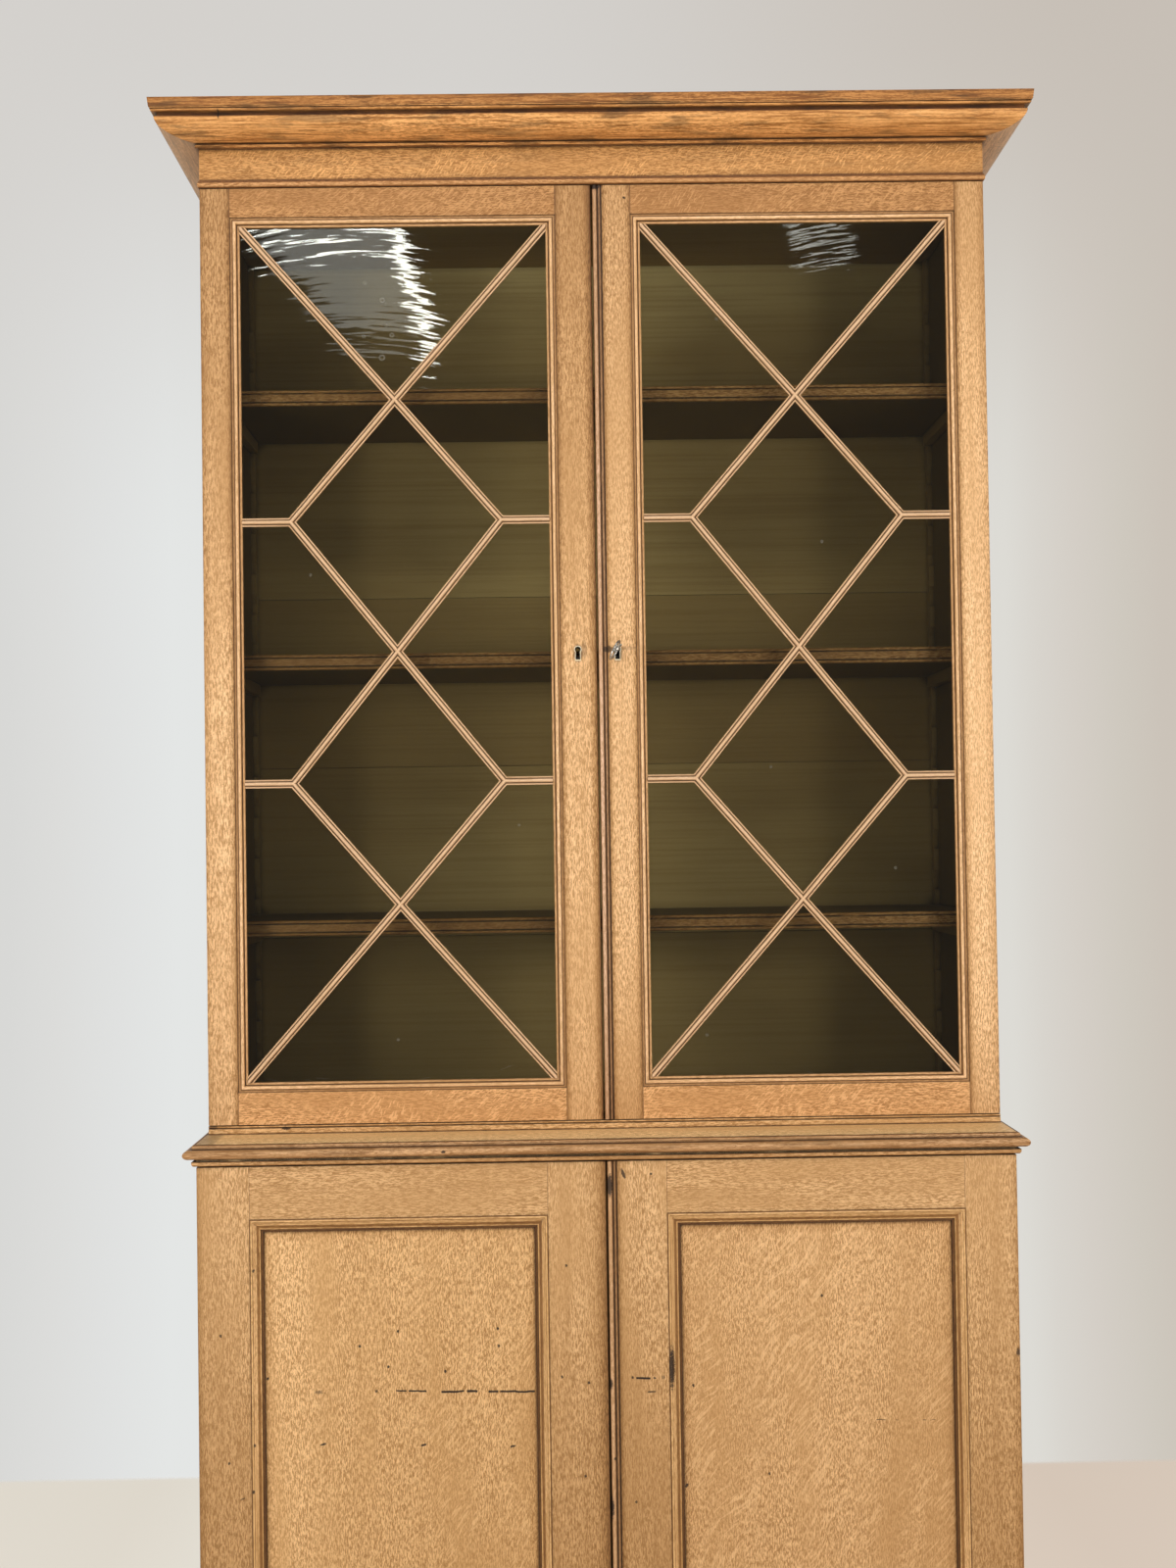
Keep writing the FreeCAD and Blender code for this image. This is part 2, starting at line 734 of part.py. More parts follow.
def lock_bolt():
    """The bolt with the talon notch that the key's bit turns in."""
    notch_x = key_x + bolt_travel / 2
    body = block((right_edge_x + bolt_setback, notch_x + talon_half_width + bolt_tail),
                 (key_y - bolt_thickness / 2, key_y + bolt_thickness / 2),
                 (lock_z + bolt_lift, lock_z + bolt_lift + bolt_height))
    notch = block((notch_x - talon_half_width, notch_x + talon_half_width),
                  (key_y - bolt_thickness, key_y + bolt_thickness),
                  (lock_z + bolt_lift - overrun, lock_z + bolt_lift + talon_depth))
    return body.cut(notch)


def key():
    """The key in the lock: bit, round shank, collar and a flat ring bow, all turned to the rest angle."""
    front = upper_face_y - key_stand
    end = key_y + key_bit_length / 2
    axis = Vector(0, 1, 0)
    shank = Part.makeCylinder(key_shank_radius, end - front, Vector(key_x, front, lock_z), axis)
    collar = Part.makeCylinder(key_collar_radius, key_bow_wall, Vector(key_x, front, lock_z), axis)
    bit = block((key_x - key_bit_thickness / 2, key_x + key_bit_thickness / 2),
                (key_y - key_bit_length / 2 + bolt_clearance, end), (lock_z, lock_z + key_bit_reach))
    middle = Vector(0, 0, -key_bow_thickness / 2)
    outer = Part.makeCylinder(key_bow_width / 2, key_bow_thickness, middle)
    inner = Part.makeCylinder(key_bow_width / 2 - key_bow_wall, key_bow_thickness, middle)
    bow = outer.cut(inner)
    squash = FreeCAD.Matrix()
    squash.scale(1, key_bow_length / key_bow_width, 1)
    bow = bow.transformGeometry(squash)
    bow.rotate(Vector(0, 0, 0), Vector(0, 1, 0), 90)
    bow.translate(Vector(key_x, front - key_bow_length / 2 + key_bow_wall, lock_z))
    whole = join(shank, collar, bit, bow)
    whole.rotate(Vector(key_x, 0, lock_z), axis, key_rest_degrees)
    return whole


def lock_keeper():
    """The box on the back of the left door that the bolt enters."""
    x = (left_edge_x - keeper_inset - keeper_width, left_edge_x - keeper_inset)
    z = (lock_z + bolt_lift - keeper_wall - bolt_clearance,
         lock_z + bolt_lift + bolt_height + keeper_wall + bolt_clearance)
    whole = block(x, (upper_back_y, upper_back_y + lock_case_depth), z)
    pocket = block((x[0] + keeper_wall, x[1] + overrun),
                   (key_y - bolt_thickness / 2 - bolt_clearance, key_y + bolt_thickness / 2 + bolt_clearance),
                   (z[0] + keeper_wall, z[1] - keeper_wall))
    return whole.cut(pocket)


class BarrelBolt:
    """A sliding rod in two guides on the back of the left upper door, at its top or at its bottom."""

    def __init__(self, up):
        self.up = up
        self.x = left_edge_x - rod_inset
        self.y = upper_back_y + guide_plate_thickness + rod_stand
        self.board = upper_ceiling if up > 0 else upper_floor
        self.tip = self.board - up * rod_rest_gap
        self.foot = self.tip - up * rod_length

    def round_bar(self, radius, start, end):
        return Part.makeCylinder(radius, abs(end - start), Vector(self.x, self.y, min(start, end)))

    def rod(self):
        """The rod with its knob."""
        bar = self.round_bar(rod_radius, self.foot, self.tip)
        middle = (self.foot + self.tip) / 2
        knob = Part.makeCylinder(bolt_knob_radius, bolt_knob_length + rod_radius,
                                 Vector(self.x, self.y, middle), Vector(0, 1, 0))
        return join(bar, knob)

    def guides(self):
        """The plate with its two guides, one near each end of the rod."""
        bore = self.round_bar(rod_radius + rod_clearance,
                              self.foot - self.up * overrun, self.tip + self.up * overrun)
        high = self.tip - self.up * guide_end_margin
        low = self.foot + self.up * (rod_throw + guide_end_margin / 2)
        plate = block((self.x - guide_plate_width / 2, self.x + guide_plate_width / 2),
                      (upper_back_y, upper_back_y + guide_plate_thickness),
                      (self.tip - self.up * rod_rest_gap, self.foot + self.up * rod_rest_gap))
        pieces = []
        for edge in (high, low + self.up * guide_height):
            pieces.append(block((self.x - guide_width / 2, self.x + guide_width / 2),
                                (upper_back_y, self.y + rod_radius + guide_top_wall),
                                (edge, edge - self.up * guide_height)))
        return join(plate, *pieces).cut(bore)

    def hole(self):
        """The hole in the board that the rod shoots into."""
        reach = self.board + self.up * (rod_throw + rod_rest_gap)
        return self.round_bar(rod_radius + rod_hole_clearance, self.board - self.up * overrun, reach)

    def keeper_plate(self):
        """The plate let into the board round the hole."""
        half = keeper_plate_size / 2
        front = max(self.y - half, upper_case_y)
        return block((self.x - half, self.x + half), (front, front + keeper_plate_size),
                     (self.board, self.board + self.up * keeper_plate_thickness))


class BallCatch:
    """A ball catch in the lower front rail, with the dimple that it meets in the door's back."""

    def __init__(self, side):
        self.x = seam_offset + side * catch_inset
        self.z = (lower_door_top + waist_board_underside - rail_board_height) / 2

    def barrel(self):
        return Part.makeCylinder(catch_radius, catch_length,
                                 Vector(self.x, lower_case_y, self.z), Vector(0, 1, 0))

    def ball(self, extra=0):
        middle = lower_case_y + catch_ball_radius - catch_ball_stand
        return Part.makeSphere(catch_ball_radius + extra, Vector(self.x, middle, self.z))

    def catch(self):
        return join(self.barrel(), self.ball())

    def dimple(self):
        return self.ball(catch_dimple_clearance)


def cornice_outline():
    """Section of the cornice: step, fillet, quirk, ovolo, quirk, bead, fillet and the flat top member."""
    top_front = cornice_projection - cornice_top_step
    bead_out = cornice_projection - cornice_bead_setback - cornice_bead_radius
    ovolo_edge = cornice_fillet_stand + cornice_ovolo_out
    section = Outline(0, 0)
    section.line(out=cornice_step_stand)
    section.line(up=cornice_step_height)
    section.line(out=cornice_fillet_stand - cornice_step_stand)
    section.line(up=cornice_fillet_height)
    section.line(out=-cornice_lower_quirk_depth)
    section.line(up=cornice_lower_quirk_height)
    section.line(out=cornice_lower_quirk_depth)
    section.round(cornice_ovolo_out, cornice_ovolo_rise, "out")
    section.line(out=-cornice_quirk_depth)
    section.line(up=cornice_quirk_height)
    section.line(out=bead_out - (ovolo_edge - cornice_quirk_depth))
    section.round(cornice_bead_radius, cornice_bead_radius, "out")
    section.round(-cornice_bead_radius, cornice_bead_radius, "up")
    section.line(out=top_front - cornice_top_fillet_setback - bead_out)
    section.line(up=cornice_top_fillet_height)
    section.line(out=cornice_top_fillet_setback)
    section.line(out=cornice_top_step, up=cornice_top_height)
    section.line(out=-cornice_projection)
    return section


def frieze_bead_outline():
    """Section of the bead at the frieze's foot."""
    radius = (frieze_bead_height - frieze_bead_fillet) / 2
    section = Outline(0, 0)
    section.round(frieze_bead_stand, radius, "out")
    section.round(frieze_fillet_stand - frieze_bead_stand, radius, "up")
    section.line(up=frieze_bead_fillet)
    section.line(out=-frieze_fillet_stand)
    return section


def nosing_outline():
    """Section of the waist nosing: a full round with a small bead standing back on top of it."""
    rise = nosing_height / 2
    flat = nosing_projection - nosing_round
    section = Outline(0, 0)
    section.line(out=flat)
    section.round(nosing_round, rise, "out")
    section.round(-nosing_round, rise, "up")
    section.line(out=waist_bead_projection - flat)
    section.line(up=waist_bead_height - waist_bead_round)
    section.round(-waist_bead_round, waist_bead_round, "up")
    section.line(out=waist_bead_round - waist_bead_projection)
    return section


def bed_outline():
    """Section of the small moulding under the waist: round below, flat above."""
    section = Outline(0, 0)
    section.line(out=bed_fillet)
    section.round(bed_projection - bed_fillet, bed_height - bed_band, "out")
    section.line(up=bed_band)
    section.line(out=-bed_projection)
    return section


def upper_base_outline():
    """Section of the strip under the glazed doors: a band, a quirk and a small bead."""
    depth = upper_case_y - upper_face_y
    radius = upper_base_bead / 2
    section = Outline(-depth, 0)
    section.line(out=depth + upper_base_stand)
    section.line(up=upper_base_band - upper_base_round)
    section.round(-upper_base_round, upper_base_round, "up")
    section.line(out=upper_base_round - upper_base_quirk_depth)
    section.line(up=upper_base_quirk)
    section.line(out=upper_base_quirk_depth - radius)
    section.round(radius, radius, "out")
    section.round(-radius, radius, "up")
    section.line(out=radius - depth - upper_base_stand)
    return section


def base_moulding_outline():
    """Section of the moulding round the foot: flat, with a round top and a fillet."""
    section = Outline(0, 0)
    section.line(out=base_moulding_stand)
    section.line(up=base_moulding_height - base_moulding_round - base_moulding_fillet)
    section.round(base_moulding_fillet - base_moulding_stand, base_moulding_round, "up")
    section.line(up=base_moulding_fillet)
    section.line(out=-base_moulding_fillet)
    return section


def with_backing(lengths, half_width, y, z):
    """The front length grown back over the thickness of the doors."""
    return [join(lengths[0], block((-half_width, half_width), y, z))] + lengths[1:]


def build_cornice():
    """Everything above the upper doors."""
    crown = front_and_returns(cornice_outline(), upper_half, upper_face_y, cornice_bottom)
    export("cornice_moulding", *crown)
    bead = front_and_returns(frieze_bead_outline(), upper_half, upper_face_y, frieze_bead_bottom)
    front = (upper_face_y, upper_case_y)
    export("frieze_bead", *with_backing(bead, upper_half, front, (frieze_bead_bottom, frieze_bottom)))
    export("cornice_frieze", block((-upper_half, upper_half), front, (frieze_bottom, dust_board_bottom)))
    export("cornice_top_board", block((-upper_half, upper_half), (upper_face_y, back_y),
                                      (dust_board_bottom, cornice_top)))


def case_sides(half, inner, front_y, bottom, top, hinges):
    """Two sides with a rebate for the back boards and recesses for the hinges."""
    sides = []
    for side in (-1, 1):
        board = block((side * inner, side * half), (front_y, back_y), (bottom, top))
        rebate = block((side * inner, side * (half - side_thickness + back_rebate_width)),
                       (inner_back_y, back_y + overrun), (bottom - overrun, top + overrun))
        recesses = [cut for hinge in hinges if hinge.door.side == side for cut in hinge.case_recess()]
        sides.append(board.cut([rebate] + recesses))
    return sides


def back_boards(half, bottom, top, joints):
    """Boards laid across the back, with open joints between them."""
    edge = half - side_thickness + back_rebate_width
    levels = [bottom] + [z for z in joints if bottom < z < top] + [top]
    return [block((-edge, edge), (inner_back_y, back_y),
                  (low + (back_board_joint if low != bottom else 0), high))
            for low, high in zip(levels, levels[1:])]


def build_upper_case(bolts, hinges):
    """The carcase behind the glazed doors."""
    across = (-upper_inner, upper_inner)
    deep = (upper_case_y, inner_back_y)
    cuts = [[bolt.hole(), bolt.keeper_plate()] for bolt in bolts]
    export("upper_top_board", block(across, deep, (upper_ceiling, upper_door_top)).cut(cuts[0]))
    export("upper_bottom_board", block(across, deep, (waist_top, upper_floor)).cut(cuts[1]))
    export("upper_sides", *case_sides(upper_half, upper_inner, upper_case_y,
                                      waist_top, dust_board_bottom, hinges))
    first = waist_top + lowest_back_board_height
    count = math.ceil((dust_board_bottom - first) / back_board_height)
    joints = [first + number * back_board_height for number in range(count)]
    export("upper_back_boards", *back_boards(upper_half, waist_top, dust_board_bottom, joints))
    foot = upper_base_outline().face(lambda out, up: Vector(-upper_half, upper_face_y - out, waist_top + up))
    export("upper_base_moulding", foot.extrude(Vector(2 * upper_half, 0, 0)))
    plates = [bolt.keeper_plate().cut(bolt.hole()) for bolt in bolts]
    catches = [BallCatch(side).catch() for side in (-1, 1)]
    export("bolt_plates_and_catches", *plates, *catches)


def shelf_outline():
    """Section of a shelf: a bead and a quirk at the top and at the bottom of its front edge."""
    depth = inner_back_y - shelf_front_y - shelf_end_clearance
    flat = shelf_thickness - 4 * shelf_bead_radius - 2 * shelf_quirk
    section = Outline(0, 0)
    section.line(out=depth - shelf_bead_radius)
    for turn in ("lower", "upper"):
        section.round(shelf_bead_radius, shelf_bead_radius, "out")
        section.round(-shelf_bead_radius, shelf_bead_radius, "up")
        if turn == "lower":
            section.line(up=shelf_quirk)
            section.line(out=shelf_bead_radius)
            section.line(up=flat)
            section.line(out=-shelf_bead_radius)
            section.line(up=shelf_quirk)
    section.line(out=-(depth - shelf_bead_radius))
    return section


def shelf(bottom):
    """One shelf, notched round the rear sawtooth strips."""
    half = upper_inner - shelf_end_clearance
    rear = inner_back_y - shelf_end_clearance
    face = shelf_outline().face(lambda u, z: Vector(-half, rear - u, bottom + z))
    board = face.extrude(Vector(2 * half, 0, 0))
    notches = [block((side * (upper_inner - strip_thickness - shelf_end_clearance), side * upper_half),
                     (inner_back_y - strip_width - shelf_end_clearance, back_y),
                     (bottom - overrun, bottom + shelf_thickness + overrun)) for side in (-1, 1)]
    return board.cut(notches)


def sawtooth_strip(side, edge_y, facing):
    """A notched strip against a side: level seats, and slopes back to the edge above them."""
    opening = bearer_height + bearer_clearance
    x = side * upper_inner
    points = [Vector(x, edge_y - facing * strip_width, upper_floor), Vector(x, edge_y, upper_floor)]
    for number in range(notch_count):
        seat = first_notch + number * notch_pitch
        inside = edge_y - facing * notch_depth
        points += [Vector(x, edge_y, seat), Vector(x, inside, seat), Vector(x, inside, seat + opening),
                   Vector(x, edge_y, seat + opening + notch_slope)]
    points += [Vector(x, edge_y, upper_ceiling), Vector(x, edge_y - facing * strip_width, upper_ceiling)]
    return prism(points, Vector(-side * strip_thickness, 0, 0))


def build_shelves():
    """The three shelves, the strips and bearers that carry them, and the shelf of the cupboard."""
    for name, bottom in zip(("bottom_shelf", "middle_shelf", "top_shelf"), shelf_bottoms):
        export(name, shelf(bottom))
    front_edge = upper_case_y + strip_setback + strip_width
    rear_edge = inner_back_y - strip_width
    strips = []
    bearers = []
    for side in (-1, 1):
        strips += [sawtooth_strip(side, front_edge, 1), sawtooth_strip(side, rear_edge, -1)]
        x = (side * upper_inner, side * (upper_inner - bearer_thickness))
        y = (front_edge - notch_depth + bearer_clearance, rear_edge + notch_depth - bearer_clearance)
        bearers += [block(x, y, (bottom - bearer_height, bottom)) for bottom in shelf_bottoms]
        lower_x = (side * lower_inner, side * (lower_inner - bearer_thickness))
        bearers.append(block(lower_x, (lower_case_y + lower_shelf_setback, inner_back_y),
                             (lower_shelf_height - bearer_height, lower_shelf_height)))
    export("sawtooth_strips", *strips)
    export("shelf_bearers", *bearers)
    half = lower_inner - shelf_end_clearance
    export("lower_shelf", block((-half, half), (lower_case_y + lower_shelf_setback, inner_back_y),
                                (lower_shelf_height, lower_shelf_height + board_thickness)))


def build_lower_case(hinges):
    """The cupboard's carcase with its waist and plinth."""
    front = (lower_face_y, lower_case_y)
    export("waist_board", block((-lower_half, lower_half), (lower_face_y, back_y),
                                (waist_board_underside, waist_top)))
    nosing_bottom = waist_board_underside + waist_quirk_height
    export("waist_nosing", *front_and_returns(nosing_outline(), lower_half, lower_face_y, nosing_bottom))
    bed = front_and_returns(bed_outline(), lower_half, lower_face_y, bed_bottom)
    export("waist_bed_moulding", *with_backing(bed, lower_half, front, (bed_bottom, waist_board_underside)))
    export("lower_sides", *case_sides(lower_half, lower_inner, lower_case_y,
                                      0, waist_board_underside, hinges))
    catches = [BallCatch(side).barrel() for side in (-1, 1)]
    across = (-lower_inner, lower_inner)
    rail = block(across, (lower_case_y, lower_case_y + front_rail_thickness),
                 (waist_board_underside - rail_board_height, waist_board_underside))
    export("lower_front_rail", rail.cut(catches))
    export("lower_bottom_board", block(across, (lower_case_y, inner_back_y),
                                       (lower_floor - board_thickness, lower_floor)))
    bottom = lower_floor - board_thickness
    count = int((waist_board_underside - bottom) / back_board_height)
    joints = [waist_board_underside - number * back_board_height for number in range(count, 0, -1)]
    export("lower_back_boards", *back_boards(lower_half, bottom, waist_board_underside, joints))
    export("plinth_board", block((-lower_half, lower_half), front, (0, plinth_height)))
    export("base_moulding", *front_and_returns(base_moulding_outline(), lower_half, lower_face_y, 0))


def hinge_heights(bottom, top, inset, count):
    """Heights spread evenly between an inset from the bottom and the same inset from the top."""
    step = (top - bottom - 2 * inset) / (count - 1)
    return [bottom + inset + number * step for number in range(count)]


def build_door(door, hinges, stiles, rails, cuts=()):
    """What every door has: stiles, rails and the hinges' own leaves."""
    recesses = [cut for hinge in hinges for cut in hinge.door_recess()]
    export(door.name + "_stiles", *[stile.cut(recesses + list(cuts)) for stile in stiles])
    export(door.name + "_rails", *rails)
    export(door.name + "_hinge_leaves", *[hinge.door_leaf() for hinge in hinges])
    if door.has_bead:
        export(door.name + "_closing_bead", door.closing_bead())


def build_upper_door(door, hinges):
    """A glazed door."""
    meeting = upper_bead_side_stile if door.has_bead else upper_meeting_stile
    stiles, rails = door.frame(upper_hinge_stile, meeting, upper_bottom_rail, upper_top_rail)
    hole_x = key_x if door.has_bead else 2 * seam_offset - key_x
    plate, filled, hole = escutcheon(hole_x)
    build_door(door, hinges, stiles, rails, [filled, hole])
    export(door.name + "_escutcheon", plate)
    lengths = frame_lengths(glass_moulding_outline(), door.opening_x, door.opening_z, door.face_y)
    export(door.name + "_glass_moulding", *lengths)
    lattice = Lattice(door)
    export(door.name + "_glazing_bars", *lattice.bar_solids())
    export(door.name + "_panes", *lattice.panes())


def build_lower_door(door, hinges):
    """A panelled door."""
    meeting = lower_bead_side_stile if door.has_bead else lower_meeting_stile
    stiles, rails = door.frame(lower_hinge_stile, meeting, lower_bottom_rail, lower_top_rail)
    x = (min(door.opening_x) - panel_groove, max(door.opening_x) + panel_groove)
    z = (door.opening_z[0] - panel_groove, door.opening_z[1] + panel_groove)
    panel = block(x, (door.face_y + panel_sink, door.face_y + panel_sink + panel_thickness), z)
    cuts = [panel, BallCatch(door.side).dimple()]
    build_door(door, hinges, stiles, [rail.cut(panel) for rail in rails], cuts)
    export(door.name + "_panel", panel)
    lengths = frame_lengths(panel_moulding_outline(), door.opening_x, door.opening_z, door.face_y)
    export(door.name + "_panel_moulding", *lengths)


def build():
    upper_levels = hinge_heights(upper_door_bottom, upper_door_top, hinge_inset, upper_hinge_count)
    lower_levels = hinge_heights(lower_door_bottom, lower_door_top, lower_hinge_inset, lower_hinge_count)
    upper_hinges = []
    lower_hinges = []
    for name, side in (("left", -1), ("right", 1)):
        upper = Door(name + "_upper", side, upper_half, upper_face_y, upper_door_bottom, upper_door_top)
        lower = Door(name + "_lower", side, lower_half, lower_face_y, lower_door_bottom, lower_door_top)
        build_upper_door(upper, upper.hinges(upper_levels))
        build_lower_door(lower, lower.hinges(lower_levels))
        upper_hinges += upper.hinges(upper_levels)
        lower_hinges += lower.hinges(lower_levels)
    bolts = [BarrelBolt(1), BarrelBolt(-1)]
    export("top_bolt", bolts[0].rod())
    export("bottom_bolt", bolts[1].rod())
    export("bolt_guides", *[bolt.guides() for bolt in bolts])
    export("lock_keeper", lock_keeper())
    export("lock_case", lock_case())
    export("lock_bolt", lock_bolt())
    export("key", key())
    build_cornice()
    build_upper_case(bolts, upper_hinges)
    build_lower_case(lower_hinges)
    build_shelves()
    hinges = upper_hinges + lower_hinges
    export("case_hinge_leaves", *[hinge.case_leaf() for hinge in hinges])
    export("hinge_pins", *[hinge.pin() for hinge in hinges])


build()
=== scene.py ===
# %% [markdown]
# # A glazed oak display cabinet
# The cabinet comes in as finished solids: a shallow upper case with a pair of glazed doors stands on a deeper
# cupboard with a pair of panelled doors. Everything that has a real size is already there.
# What is left is what the eye wants: wood, old glass, brass, dirt in the corners, and the small things that a
# cabinet maker adds last, such as screws, putty and nails. Each cell below adds one finish or one small
# thing. The solids stay as they are, but for the key, whose flat bow gives way to a rounder one.

# %% Load the cabinet
import math
import random

import bpy
from mathutils import Euler, Matrix, Vector


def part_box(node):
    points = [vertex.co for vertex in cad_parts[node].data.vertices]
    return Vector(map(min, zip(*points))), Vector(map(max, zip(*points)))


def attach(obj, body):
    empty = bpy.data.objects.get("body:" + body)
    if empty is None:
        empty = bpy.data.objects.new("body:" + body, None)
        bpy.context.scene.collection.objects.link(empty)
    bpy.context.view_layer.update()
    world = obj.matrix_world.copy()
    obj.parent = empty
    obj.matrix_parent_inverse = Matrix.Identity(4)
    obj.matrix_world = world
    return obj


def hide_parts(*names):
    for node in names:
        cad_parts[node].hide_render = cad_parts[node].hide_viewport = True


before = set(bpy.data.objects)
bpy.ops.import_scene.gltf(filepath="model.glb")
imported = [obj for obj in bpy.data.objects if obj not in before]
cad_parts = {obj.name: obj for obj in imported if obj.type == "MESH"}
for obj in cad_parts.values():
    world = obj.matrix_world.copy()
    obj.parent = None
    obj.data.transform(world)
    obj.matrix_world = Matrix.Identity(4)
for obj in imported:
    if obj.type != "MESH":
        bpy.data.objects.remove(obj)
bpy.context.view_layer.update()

# %% [markdown]
# ## The camera
# The picture was taken from a little over three metres, at chest height, with a lens that narrows the view.
# A camera could be aimed with a Track To constraint, but then its small tilt to one side would be lost.
# Three turns, one after the other, keep it: a turn to the right, a look upwards and a lean of under a degree.

# %% Camera
camera_place = Vector((-0.0632, -3.328, 1.302))
look_right = math.radians(0.803)
look_up = math.radians(1.371)
lean = math.radians(0.814)
lens_length = 50.31


def aimed_camera():
    """The camera, turned right, then up, then leant clockwise."""
    bpy.ops.object.camera_add(location=camera_place)
    camera = bpy.context.object
    camera.name = "camera"
    turn = (Matrix.Rotation(-look_right, 4, "Z") @ Matrix.Rotation(math.pi / 2 + look_up, 4, "X")
            @ Matrix.Rotation(-lean, 4, "Z"))
    camera.rotation_euler = turn.to_euler()
    camera.data.lens = lens_length
    camera.data.sensor_width = 36
    return camera


bpy.context.scene.camera = aimed_camera()
print("camera at", list(camera_place), "with a lens of", lens_length, "mm")

# %% [markdown]
# ## Wires between nodes
# A Blender material is a small network: nodes make numbers and colours, and wires carry them on. Written one
# by one, even a simple sum takes many lines. A class that stands for one wire makes it short: adding two
# wires, or a wire and a number, puts a Math node between them. So a mask can be written as `1 - dirt * 0.5`.
# Vectors get Vector Math nodes instead, and colours are mixed with Mix nodes.


# %% Wires
class Wire:
    """One output of a node. Python's operators add a Math or a Vector Math node to it."""

    def __init__(self, recipe, socket):
        self.recipe = recipe
        self.socket = socket

    def reckon(self, operation, first, second):
        if self.socket.type != "VECTOR":
            return self.recipe.add("ShaderNodeMath", {"operation": operation}, {0: first, 1: second})
        pair = [(v, v, v) if isinstance(v, (int, float)) else v for v in (first, second)]
        return self.recipe.add("ShaderNodeVectorMath", {"operation": operation}, {0: pair[0], 1: pair[1]})

    def __add__(self, other):
        return self.reckon("ADD", self, other)

    def __radd__(self, other):
        return self.reckon("ADD", other, self)

    def __sub__(self, other):
        return self.reckon("SUBTRACT", self, other)

    def __rsub__(self, other):
        return self.reckon("SUBTRACT", other, self)

    def __mul__(self, other):
        return self.reckon("MULTIPLY", self, other)

    def __rmul__(self, other):
        return self.reckon("MULTIPLY", other, self)

    def __truediv__(self, other):
        return self.reckon("DIVIDE", self, other)


# %% [markdown]
# ## A recipe for one material
# Most of what follows needs the same few steps: a noise pattern, a mask that rises from 0 to 1, and a colour
# that changes where a mask says so. The recipe below holds one material and has a short method for each.


# %% Recipe
def paint(red, green, blue):
    """A colour picked on a scale of 0 to 255, as the linear values that Blender's sockets hold."""
    shares = [value / 255 for value in (red, green, blue)]
    return tuple(v / 12.92 if v <= 0.04045 else ((v + 0.055) / 1.055) ** 2.4 for v in shares)


